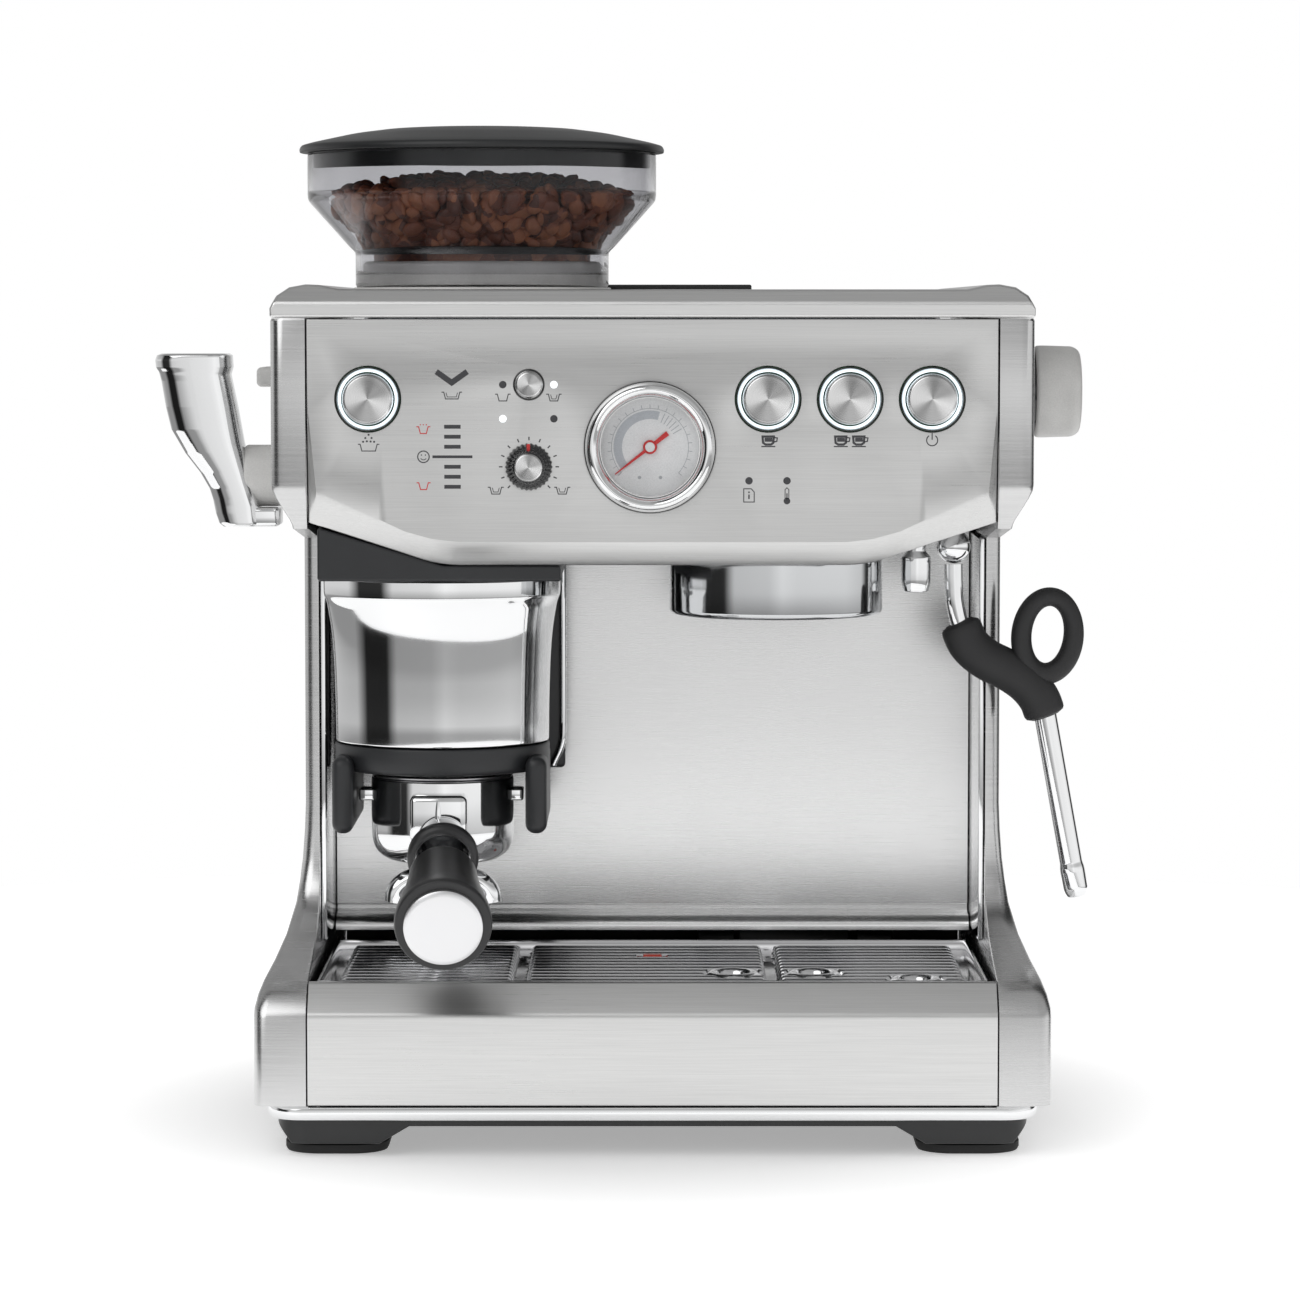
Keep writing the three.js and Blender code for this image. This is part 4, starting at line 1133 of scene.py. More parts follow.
        stem = revolved([(0, 0), (3, 0), (3, 7.6), (0, 7.6)], 32)
        place = (box.centre[0], box.high[1], box.centre[2])
        body = Surface.joined(skirt.bent(fluted), stem).turned(FACING_FRONT).moved(place)
        shop.piece("dose_dial_body", body, finishes.gloss_black, "dose_knob", ("dose_dial",))
        cap = revolved([(0, 18.6), (5.6, 18.6), (5.6, 19.4, 0.2), (5.1, 19.9, 0.3), (0, 19.95)], 64)
        finish = RadialBrushed("dose_dial_spun", tuple(np.array(place) * MM + HOME)).material()
        shop.piece("dose_dial_cap", cap.turned(FACING_FRONT).moved(place), finish, "dose_knob", slot="stainless")
        pointer = rounded_block((-0.7, -0.6, -1.7), (0.7, 0.6, 1.7), 0.4)
        shop.piece("dose_dial_pointer", pointer.moved((place[0], self.front - 9.1, place[2] + 7.7)), finishes.print_red,
                   "dose_knob", slot="red_plastic")

    def gauge(self) -> None:
        """The pressure gauge: a rolled chrome bezel, a white dial with its scale, a needle and a glass."""
        shop, finishes = self.shop, self.shop.finishes
        box = NodeBox.of("gauge_housing")
        deep, radius = box.size[1], 26.0
        place = (box.centre[0], box.high[1], box.centre[2])
        bezel = revolved([
            (0, 0), (24, 0, 0.4), (24, 28.3), (radius, 28.3, 0.3), (radius, 31, 1.2), (24.8, 33.6, 1.6),
            (23, deep - 0.4, 1.4),
            (21.2, deep - 2, 1.2), (20.4, 31.4, 0.4), (20.3, 23.0), (0, 23.0)], 128)
        shop.piece("gauge_bezel", bezel.turned(FACING_FRONT).moved(place), finishes.chrome, nodes=("gauge_housing",))
        rim = revolved([(25.6, 27.9), (25.6, 29.6, 0.3), (26.4, 29.2, 0.3), (26.4, 27.9)], 128, closed=True)
        shop.piece("gauge_shadow_ring", rim.turned(FACING_FRONT).moved(place), finishes.gloss_black,
                   slot="black_plastic")
        dial = revolved([(0, 23.4), (20.2, 23.4), (20.2, 31.2, 0.2), (19.75, 31.2, 0.2), (19.75, 24.25), (0, 24.25)],
                        96)
        shop.piece("gauge_dial_face", dial.turned(FACING_FRONT).moved(place), finishes.white, slot="white_plastic")
        self.gauge_scale((place[0], place[1] - 24.25, place[2]))
        needle_place = (place[0], NodeBox.of("gauge_needle").high[1], place[2])
        angle = np.radians(218)
        along, across = np.array([np.cos(angle), np.sin(angle)]), np.array([-np.sin(angle), np.cos(angle)])
        outline = np.array([-9 * along - 1.0 * across, 17.8 * along - 0.2 * across, 17.8 * along + 0.2 * across,
                            -9 * along + 1.0 * across])
        blade = plate(outline, [], 0.5, 0.1).moved((0, 0, 1.0))
        hub = revolved([(0, 0), (2.8, 0), (2.8, 1.7, 0.4), (0, 1.9)], 40)
        shop.piece("needle_blade", Surface.joined(blade, hub).turned(FACING_FRONT).moved(needle_place),
                   finishes.print_red,
                   "needle", ("gauge_needle",))
        boss = revolved([(0, 1.6), (2.0, 1.6), (1.9, 2.3, 0.3), (0, 2.4)], 40)
        shop.piece("needle_cap", boss.turned(FACING_FRONT).moved(needle_place), finishes.white, "needle",
                   slot="white_plastic")
        lens_box = NodeBox.of("gauge_lens")
        lens = revolved([(0, 0), (19.6, 0), (19.6, 0.9, 0.3), (12, 1.35, 4), (0, 1.5)], 96)
        shop.piece("gauge_glass", lens.turned(FACING_FRONT).moved((place[0], lens_box.high[1], place[2])),
                   finishes.glass,
                   nodes=("gauge_lens",))

    def gauge_scale(self, place: Sequence[float]) -> None:
        """The printed scale: an arc band, its ticks and two small marks below the centre."""
        shop, finishes = self.shop, self.shop.finishes

        def arc(start: float, end: float, radius: float, steps: int = 60) -> list[tuple[float, float]]:
            """Points on an arc, from one angle to the other."""
            angle = np.radians(np.linspace(start, end, steps))
            return list(zip(radius * np.cos(angle), radius * np.sin(angle)))

        band = [ribbon(arc(218, 74, 12.9), 3.4, lift=0.03)]
        fine = [ribbon(arc(222, -42, 15.4, 90), 0.22, lift=0.05)]
        for degree in np.linspace(222, -42, 23):
            cos, sin = math.cos(math.radians(degree)), math.sin(math.radians(degree))
            fine.append(ribbon([(15.4 * cos, 15.4 * sin), (17.0 * cos, 17.0 * sin)], 0.26))
        for degree in np.linspace(30, 66, 6):
            cos, sin = math.cos(math.radians(degree)), math.sin(math.radians(degree))
            fine.append(ribbon([(10.6 * cos, 10.6 * sin), (14.6 * cos, 14.6 * sin)], 0.3, lift=0.06))
        fine += [disc_mark(-4.2, -12.2, 0.7), disc_mark(4.2, -12.2, 0.7)]
        for name, parts, material in (("gauge_scale_band", band, finishes.print_pale),
                                      ("gauge_scale_ticks", fine, finishes.print_grey)):
            shop.piece(name, Surface.joined(*parts).turned(FACING_FRONT).moved(place), material, slot="black_plastic")


@dataclass
class Markings:
    """The printed signs on the control panel, all simple line drawings."""

    shop: Workshop
    panel: ControlPanel
    line: float = 0.55

    def build(self) -> None:
        """Builds the dark marks as one piece and the red ones as another."""
        dark = [*self.cups(), *self.power(), *self.dose(), *self.tamp(), *self.levels(), *self.baskets(),
                *self.dial_marks(),
                *self.service()]
        red = self.red_marks()
        for name, parts, material, slot in (("panel_marks", dark, self.shop.finishes.print_dark, "black_plastic"),
                                            ("panel_marks_red", red, self.shop.finishes.print_red, "red_plastic")):
            flat = Surface.joined(*parts)
            self.shop.piece(name, flat.turned(FACING_FRONT).moved((0, self.panel.front, 0)), material, slot=slot)

    def cup(self, x: float, z: float) -> list[Surface]:
        """A cup on its saucer, with a handle."""
        body = ribbon([(x - 2.4, z + 1.5), (x - 2.2, z - 1.0), (x - 1.2, z - 1.7), (x + 1.0, z - 1.7),
                       (x + 1.9, z - 1.0), (x + 2.1, z + 1.5)],
                      0.9, closed=True)
        fill = ribbon([(x - 1.6, z + 0.2), (x + 1.5, z + 0.2)], 1.6)
        handle = ribbon([(x + 2.3, z + 1.1), (x + 3.5, z + 0.9), (x + 3.3, z - 0.4), (x + 2.1, z - 0.7)], 0.5)
        saucer = ribbon([(x - 2.9, z - 2.5), (x + 2.7, z - 2.5)], 0.5)
        return [body, fill, handle, saucer]

    def cups(self) -> list[Surface]:
        """One cup under its button and two under the next."""
        one, two = self.panel.centres["one_cup_button"], self.panel.centres["two_cup_button"]
        z = one[2] - 16.4
        return [*self.cup(one[0] + 0.2, z), *self.cup(two[0] - 3.6, z), *self.cup(two[0] + 3.6, z)]

    def power(self) -> list[Surface]:
        """An open ring with an upright bar."""
        centre = self.panel.centres["power_button"]
        x, z = centre[0], centre[2] - 16.4
        angle = np.radians(np.linspace(125, 415, 30))
        return [ribbon(list(zip(x + 2.2 * np.cos(angle), z + 2.2 * np.sin(angle))), 0.45),
                ribbon([(x, z + 0.2), (x, z + 2.9)], 0.45)]

    def basket(self, x: float, z: float, wide: float = 2.6, double: bool = False) -> list[Surface]:
        """A filter basket seen from the side, with one or two walls and its holes."""
        parts = [ribbon([(x - wide - 0.9, z + 1.4), (x - wide, z + 1.4), (x - wide + 0.7, z - 1.3),
                         (x + wide - 0.7, z - 1.3), (x + wide, z + 1.4),
                         (x + wide + 0.9, z + 1.4)], 0.4)]
        if double:
            parts.append(ribbon([(x - wide + 0.9, z + 1.2), (x - wide + 1.4, z - 0.5), (x + wide - 1.4, z - 0.5),
                                 (x + wide - 0.9, z + 1.2)], 0.3))
        return parts

    def dose(self) -> list[Surface]:
        """The grounds falling into a basket, under the dose button."""
        centre = self.panel.centres["dose_button"]
        x, z = centre[0] + 0.3, centre[2] - 18.8
        dots = [disc_mark(x + dx, z + dz, 0.42) for dx, dz in ((0, 4.6), (-1.3, 3.3), (1.2, 3.3), (-2.2, 1.8),
                                                               (-0.7, 2.0), (0.8, 1.9), (2.2, 1.8))]
        return [*self.basket(x, z - 0.6, 3.4), *dots]

    def tamp(self) -> list[Surface]:
        """A wide arrow head pointing down at a basket."""
        x, z = -80.2, 313.2
        return [ribbon([(x - 6.2, z + 2.6), (x, z - 1.8), (x + 6.2, z + 2.6)], 2.3),
                *self.basket(x, z - 7.0, 3.2, True)]

    def levels(self) -> list[Surface]:
        """The dose level: three short bars above and below one long one, with round ends."""
        x, z = -80.0, 281.8
        parts = [ribbon([(x - 8, z), (x + 8, z)], 1.1)]
        for step in (1, 2, 3):
            for sign in (-1, 1):
                parts.append(ribbon([(x - 3.3, z + sign * step * 4.0), (x + 3.3, z + sign * step * 4.0)], 1.55))
        angle = np.radians(np.linspace(0, 360, 29)[:-1])
        face_x = x - 11.6
        parts.append(ribbon(list(zip(face_x + 2.3 * np.cos(angle), z + 2.3 * np.sin(angle))), 0.45, closed=True))
        smile = np.radians(np.linspace(210, 330, 10))
        parts.append(ribbon(list(zip(face_x + 1.25 * np.cos(smile), z + 1.25 * np.sin(smile))), 0.3))
        parts += [disc_mark(face_x - 0.8, z + 0.7, 0.28), disc_mark(face_x + 0.8, z + 0.7, 0.28)]
        return parts

    def baskets(self) -> list[Surface]:
        """The two baskets of the filter button, single and double walled."""
        x, z = self.panel.filter_centre[0], self.panel.filter_centre[2]
        return [*self.basket(x - 10.4, z - 5.2, 2.2), *self.basket(x + 10.0, z - 5.2, 2.2, True)]

    def dial_marks(self) -> list[Surface]:
        """Ticks round the dose dial, and a small and a large dose at their ends."""
        x, z = self.panel.dose_centre[0], self.panel.dose_centre[2]
        parts: list[Surface] = []
        for degree in np.linspace(-45, 225, 13):
            cos, sin = math.cos(math.radians(degree)), math.sin(math.radians(degree))
            parts.append(ribbon([(x + 10.6 * cos, z + 10.6 * sin), (x + 12.0 * cos, z + 12.0 * sin)], 0.5))
        return [*parts, *self.basket(x - 13.3, z - 9.6, 2.3, True), *self.basket(x + 13.3, z - 9.6, 2.3, True)]

    def service(self) -> list[Surface]:
        """A page with a dog ear, and a thermometer, under the two service lamps."""
        x, z = 38.6, 266.3
        page = ribbon([(x - 2.1, z - 2.6), (x + 2.1, z - 2.6), (x + 2.1, z + 1.4), (x + 0.9, z + 2.7),
                       (x - 2.1, z + 2.7)], 0.4, closed=True)
        letter = [ribbon([(x, z - 1.4), (x, z + 0.4)], 0.6), disc_mark(x, z + 1.3, 0.36)]
        x += 15.2
        stem = ribbon([(x - 0.75, z - 1.2), (x - 0.75, z + 2.4), (x, z + 3.1), (x + 0.75, z + 2.4),
                       (x + 0.75, z - 1.2)], 0.35)
        return [page, *letter, stem, disc_mark(x, z - 2.2, 1.35), ribbon([(x, z - 1.5), (x, z + 0.9)], 0.5)]

    def red_marks(self) -> list[Surface]:
        """The two red baskets at the ends of the dose level."""
        x = -91.6
        parts = [*self.basket(x, 292.4, 1.9), *self.basket(x, 270.0, 1.9)]
        parts += [disc_mark(x + dx, 294.6, 0.26) for dx in (-1.2, 0, 1.2)]
        return parts


# ---------------------------------------------------------------- left side: grinder, tamper, lever


@dataclass
class TampUnit:
    """The tamping housing, its polished cup, the cradle that holds the portafilter, and the tamper."""

    shop: Workshop
    corner: float = 24.0

    def build(self) -> None:
        """Builds and dresses the unit."""
        shop, finishes = self.shop, self.shop.finishes
        box = NodeBox.of("tamp_housing")
        self.centre = NodeBox.of("tamp_cup").centre[:2]
        shop.refined("tamp_housing", finishes.housing_black_and_shade, width=1.2, sharp=40)
        cup_box = NodeBox.of("tamp_cup")
        shop.piece("tamp_cup_fine", self.cup(cup_box), finishes.chrome, nodes=("tamp_cup",))
        shop.piece("tamp_cradle_fine", self.cradle(NodeBox.of("tamp_cradle")), finishes.housing_black_and_shade,
                   nodes=("tamp_cradle",))
        right = NodeBox.of("tamp_cradle").high[0] - 0.9
        rail = [(right, -31.4, 235), (right, -31.4, 200), (right, -31.4, 166), (right - 0.8, -31.4, 156),
                (right - 4.4, -31.4, 147.5)]
        shop.piece("tamp_guard_rail", swept(smooth_path(rail, 40), 1.5), finishes.chrome, slot="chrome")
        tamper = NodeBox.of("tamper")
        low, high = tamper.low[2], tamper.high[2]
        disc = revolved([(0, low), (25.4, low, 0.4), (25.4, low + 4, 0.5), (23, low + 9, 2), (9, low + 9.6, 2),
                         (5, low + 13, 2), (5, high - 0.6, 0.5),
                         (0, high)], 96)
        shop.piece("tamper_fine", disc.moved((*self.centre, 0)), finishes.machined, "tamp_piston", ("tamper",))
        LOG.info("tamping unit under a housing %.0f mm wide", box.size[0])

    def cradle(self, box: NodeBox) -> Surface:
        """The cradle: a round collar, two soft-ended legs and the plate behind them."""
        x, y = self.centre
        collar = revolved([(29.2, 151.4, 1.2), (43.4, 151.4, 2.4), (44.4, 156, 3), (44.4, 162.4, 0.9),
                           (29.2, 162.4, 0.9)], 120, closed=True)
        legs = [rounded_block((x + sign * 39.5 - 4.4, y - 33.8, box.low[2]), (x + sign * 39.5 + 4.4, y + 41.8, 158.5),
                              4.0, 6)
                for sign in (-1, 1)]
        back = rounded_block((box.low[0], y + 49.4, 146.2), (box.high[0], box.high[1], box.high[2]), 2.0, 4)
        return Surface.joined(collar.moved((x, y, 0)), *legs, back)

    def cup(self, box: NodeBox) -> Surface:
        """The cup: a turned shell whose wall draws in below its rolled upper edge."""
        low, high = box.low[2], box.high[2]
        outer = [(43.0, low), (44.2, low + 0.2, 0.8), (44.3, low + 15, 6), (44.8, low + 33, 10), (45.7, low + 46, 8),
                 (47.6, low + 57.4, 4), (48.9, low + 60.6, 0.9), (49.0, low + 67.6, 0.4), (48.4, high, 0.4),
                 (46.8, high, 0.4)]
        inner = [(45.6, low + 60, 6), (44.4, low + 50, 10), (42.8, low + 33, 10), (42.2, low + 15, 6),
                 (42.2, low + 0.4, 0.4)]
        return revolved([*outer, *inner], 144, closed=True).moved((*self.centre, 0))


@dataclass
class Lever:
    """The polished tamping lever on the left side, with its hub."""

    shop: Workshop
    left: tuple[tuple[float, float], ...] = (
        (250.6, -179.0), (252.0, -180.6), (256.0, -182.0), (262.0, -183.2), (266.4, -184.6), (273.0, -188.4),
        (281.0, -194.6), (291.0, -200.4),
        (300.2, -202.6), (311.0, -204.4), (314.8, -205.4), (316.6, -206.6), (319.6, -206.9), (321.6, -206.2),
        (322.3, -204.4))
    right: tuple[tuple[float, float], ...] = (
        (250.6, -164.0), (252.0, -162.8), (259.5, -163.3), (268.0, -166.0), (285.2, -170.4), (300.0, -173.0),
        (313.6, -175.8), (316.8, -174.9),
        (321.6, -175.2), (322.3, -176.4))

    def build(self) -> None:
        """Builds the paddle as a crowned bar and the hub as a turned pin."""
        shop, finishes = self.shop, self.shop.finishes
        box = NodeBox.of("tamp_lever")
        foot = rounded_block((-174.0, box.low[1] + 1.0, 250.6), (-155.0, box.high[1] - 1.0, 258.6), 1.8, 5)
        shop.piece("tamp_lever_fine", Surface.joined(self.paddle(box), foot), finishes.chrome, "lever", ("tamp_lever",),
                   sharp=44)
        hub = revolved([(0, 0), (12.6, 0, 0.4), (12.8, 1.0, 0.4), (12.8, 14.6, 1.2), (11.6, 15.8, 0.6), (0, 15.8)], 96)
        place = (-154.2, box.centre[1], 271.6)
        shop.piece("tamp_lever_hub", hub.turned(FACING_LEFT).moved(place), finishes.grey, "lever", slot="grey_plastic")

    def paddle(self, box: NodeBox) -> Surface:
        """A loft between the left and right edge lines.

        Each level is a ring: (centre + a sgn(c)|c|^p, middle + b sgn(s)|s|^p) with c = cos u and s = sin u,
        where p is 1 on the round outer side and 0.36 on the flatter inner side.
        """
        levels = np.unique(np.concatenate([np.linspace(250.6, 322.3, 70), [row[0] for row in self.left + self.right]]))
        low, high = (np.interp(levels, *zip(*line)) for line in (self.left, self.right))
        u = np.linspace(0, 2 * np.pi, 72, endpoint=False)
        power = np.where(np.cos(u) > 0, 0.36, 0.86)
        c, s = np.sign(np.cos(u)) * np.abs(np.cos(u)) ** power, np.sign(np.sin(u)) * np.abs(np.sin(u)) ** power
        ends = np.clip(np.minimum(levels - 250.6, 322.3 - levels) / 1.2, 0, 1)
        depth = (box.size[1] / 2 - 1.2 + 1.2 * np.sqrt(1 - (1 - ends) ** 2))[:, None]
        x = ((low + high) / 2)[:, None] + ((high - low) / 2)[:, None] * c
        y = box.centre[1] + depth * s
        return grid(np.stack([x, y, np.broadcast_to(levels[:, None], x.shape)], axis=-1), cap_start=True, cap_end=True)


@dataclass
class GrindDial:
    """The grind size dial on the left side: a disc with a finger grip across it."""

    shop: Workshop

    def build(self) -> None:
        """Builds the dial."""
        box = NodeBox.of("grind_dial")
        place = (box.high[0], box.centre[1], box.centre[2])
        disc = revolved([(0, 0), (20.6, 0, 0.4), (21, 1.0, 0.6), (21, 5.2, 1.4), (19.4, 6.8, 1.0), (0, 7.0)], 120)

        def fluted(points: Array) -> Array:
            """Adds flutes round the rim: radius - 0.35 (0.5 + 0.5 cos 36 a)."""
            radius, angle = np.hypot(points[:, 0], points[:, 1]), np.arctan2(points[:, 1], points[:, 0])
            scale = np.where(radius > 19.8, 1 - 0.35 * (0.5 + 0.5 * np.cos(36 * angle)) / 21, 1.0)
            points[:, :2] *= scale[:, None]
            return points

        grip = rounded_block((-4.2, -16, 5.5), (4.2, 16, 15.0), 2.2, 5)
        dial = Surface.joined(disc.bent(fluted), grip).turned(FACING_LEFT).moved(place)
        self.shop.piece("grind_dial_fine", dial, self.shop.finishes.grey, "grind_knob", ("grind_dial",))
        mark = ribbon([(0, -14), (0, -9)], 1.2, lift=0.12).moved((0, 0, 14.8)).turned(FACING_LEFT)
        self.shop.piece("grind_dial_pointer", mark.moved(place), self.shop.finishes.print_dark, "grind_knob",
                        slot="black_plastic")


@dataclass
class Hopper:
    """The clear bean hopper with its lid, seat ring and lock band."""

    shop: Workshop

    def build(self) -> None:
        """Builds and dresses the hopper."""
        shop, finishes = self.shop, self.shop.finishes
        box = NodeBox.of("hopper")
        self.centre = (box.centre[0], box.centre[1], 0.0)
        shop.piece("hopper_bowl", self.bowl().moved(self.centre), finishes.smoked, "hopper_body", ("hopper",))
        band = revolved([(47.4, 363.4), (50.2, 363.4), (51.4, 367.0, 0.4), (49.4, 367.6), (47.4, 366.8)], 128,
                        closed=True)
        shop.piece("hopper_band", band.moved(self.centre), finishes.gloss_black, "hopper_body", slot="black_plastic")
        sleeve = revolved([(47.6, 351.0), (50.4, 351.0, 0.3), (50.4, 359.4, 0.8), (49.0, 360.6, 0.6),
                           (47.6, 360.6, 0.3)], 128, closed=True)
        shop.piece("hopper_sleeve", sleeve.moved(self.centre), finishes.grey, "hopper_body", slot="grey_plastic")
        seat = revolved([(47.6, 345.2), (54.6, 345.2, 0.4), (54.9, 348.2, 0.4), (54.2, 349.9, 0.4), (47.6, 349.9)], 128,
                        closed=True)
        shop.piece("hopper_seat", seat.moved(self.centre), finishes.grey, slot="grey_plastic")
        shop.piece("hopper_lid_fine", self.lid().moved(self.centre), finishes.lid_black, "hopper_cover",
                   ("hopper_lid",))
        Beans(shop, self.centre[:2]).build()

    def bowl(self) -> Surface:
        """The bowl: collar, step, flare and upper rim, 2 mm thick."""
        return revolved([
            (22.6, 338.0, 0.4), (22.6, 347.6, 1.0), (52.6, 349.4, 0.8), (53.5, 351.0, 0.8), (53.5, 364.6, 1.2),
            (56.0, 367.0, 2.0), (73.2, 386.2, 3.0),
            (73.6, 388.5, 1.0), (73.6, 405.6, 0.5), (71.6, 405.6, 0.5), (71.6, 388.4, 2.0), (54.8, 369.2, 2.0),
            (51.4, 365.0, 2.0), (51.2, 355.0, 2.0),
            (24, 350.4, 2.0), (20.4, 348.0, 1.0), (20.4, 338.0, 0.4)], 144, closed=True)

    def lid(self) -> Surface:
        """The lid: a low crown, a soft outer lip and a skirt that drops inside the bowl."""
        return revolved([
            (0, 417.3), (20, 417.1), (30, 416.9, 3), (40, 416.3, 2), (54, 414.5, 4), (72, 410.6, 5), (76.2, 409.4, 1.2),
            (77.0, 407.8, 0.9), (76.8, 406.5, 0.3),
            (74.4, 406.4), (71.2, 406.4), (71.0, 399.2, 0.4), (69.2, 399.2, 0.4), (69.0, 407.3, 1.5), (50, 411.4, 4),
            (0, 414.2)], 144)


@dataclass
class Beans:
    """Coffee beans heaped in the hopper: one low bean shape, turned and scattered with a fixed seed."""

    shop: Workshop
    middle: Sequence[float]
    seed: int = 41
    length: float = 10.4
    top_count: int = 170
    heap_radius: float = 60.0
    heap_top: float = 394.6

    def build(self) -> None:
        """Builds the heap: a core that fills the bowl's middle, and loose beans outside and on top."""
        random = np.random.default_rng(self.seed)
        core = revolved([(0, 352.4), (40, 353.4, 4), (45.6, 356, 3), (45.8, 364, 4), (47, 370, 4), (56.4, 381.2, 3),
                         (55.4, 385.4, 3), (38, 389.4, 8),
                         (0, 391.6)], 96)
        self.shop.piece("bean_core", core.moved((*self.middle, 0)), self.shop.finishes.roast, "hopper_body",
                        slot="black_plastic")
        places, normals = self.places(random)
        loose = self.scattered(places, normals, random)
        self.shop.piece("loose_beans", loose, self.shop.finishes.roast, "hopper_body", slot="black_plastic", sharp=60)

    def shape(self) -> Surface:
        """One bean: an ellipsoid (L/2, 0.36 L, 0.25 L) with a flatter side and a groove along it."""
        tilt = np.linspace(-np.pi / 2, np.pi / 2, 9)[1:-1, None]
        angle = np.linspace(0, 2 * np.pi, 14, endpoint=False)[None, :]
        x = self.length / 2 * np.sin(tilt) + 0 * angle
        y = 0.36 * self.length * np.cos(tilt) * np.cos(angle)
        z = 0.27 * self.length * np.cos(tilt) * np.sin(angle)
        z = np.where(z < 0, z * 0.62, z)
        groove = np.exp(-((y / (0.07 * self.length)) ** 2)) * (np.sin(angle) < -0.5) * np.cos(tilt)
        z = z + 0.085 * self.length * groove
        return grid(np.stack([x, y, z], axis=-1), cap_start=True, cap_end=True)

    def places(self, random: np.random.Generator) -> tuple[Array, Array]:
        """Picks bean centres on rings inside the wall, down the flare, and on top of the heap."""
        spots: list[tuple[float, float, float, float]] = []
        for radius, height, slope in ((48.0, 369.4, -0.4), (50.6, 372.4, -0.7), (54.2, 376.2, -0.72),
                                      (58.0, 380.4, -0.72), (61.4, 384.2, -0.4),
                                      (58.4, 386.8, 0.7)):
            count = int(2 * np.pi * radius / 8.0)
            start = random.uniform(0, 2 * np.pi)
            spots += [(radius, start + 2 * np.pi * number / count, height, slope) for number in range(count)]
        rows = np.array(spots)
        jitter = random.normal(0, 1, (len(rows), 3)) * (0.5, 0.02, 0.8)
        radius, angle, height = rows[:, 0] - np.abs(jitter[:, 0]), rows[:, 1] + jitter[:, 1], rows[:, 2] + jitter[:, 2]
        wall = np.stack([radius * np.cos(angle), radius * np.sin(angle), height], axis=-1)
        lean = rows[:, 3]
        out = np.stack([np.cos(angle) * np.cos(lean), np.sin(angle) * np.cos(lean), np.sin(lean)], axis=-1)
        spread = np.sqrt(random.uniform(0, 1, self.top_count)) * self.heap_radius
        turn_by = random.uniform(0, 2 * np.pi, self.top_count)
        share = spread / self.heap_radius
        heap = self.heap_top - share ** 2 * 7.6 + 1.6 * np.sin(turn_by * 2 + 0.6) * share + random.normal(0, 0.5,
                                                                                                          self.top_count)
        top = np.stack([spread * np.cos(turn_by), spread * np.sin(turn_by), heap], axis=-1)
        up = np.tile([0.0, 0.0, 1.0], (self.top_count, 1))
        return np.vstack([wall, top]), np.vstack([out, up])

    def scattered(self, places: Array, normals: Array, random: np.random.Generator) -> Surface:
        """Copies the bean to every place, its flat or round side outward and its length turned at random."""
        bean = self.shape()
        count, size = len(places), len(bean.points)
        rough = normals + random.normal(0, 0.3, normals.shape)
        rough /= np.linalg.norm(rough, axis=1, keepdims=True)
        rough *= np.where(random.uniform(0, 1, count) < 0.55, 1.0, -1.0)[:, None]
        guide = random.normal(0, 1, (count, 3))
        along = np.cross(rough, guide)
        along /= np.linalg.norm(along, axis=1, keepdims=True)
        side = np.cross(rough, along)
        scale = random.uniform(0.88, 1.04, (count, 1, 1))
        points = bean.points[None] * scale
        placed = points[..., :1] * along[:, None] + points[..., 1:2] * side[:, None] + points[..., 2:] * rough[:, None]
        placed += places[:, None] + np.array([*self.middle, 0.0])
        faces = [[index + size * number for index in face] for number in range(count) for face in bean.faces]
        return Surface(placed.reshape(-1, 3), faces)


# ---------------------------------------------------------------- brewing and steam


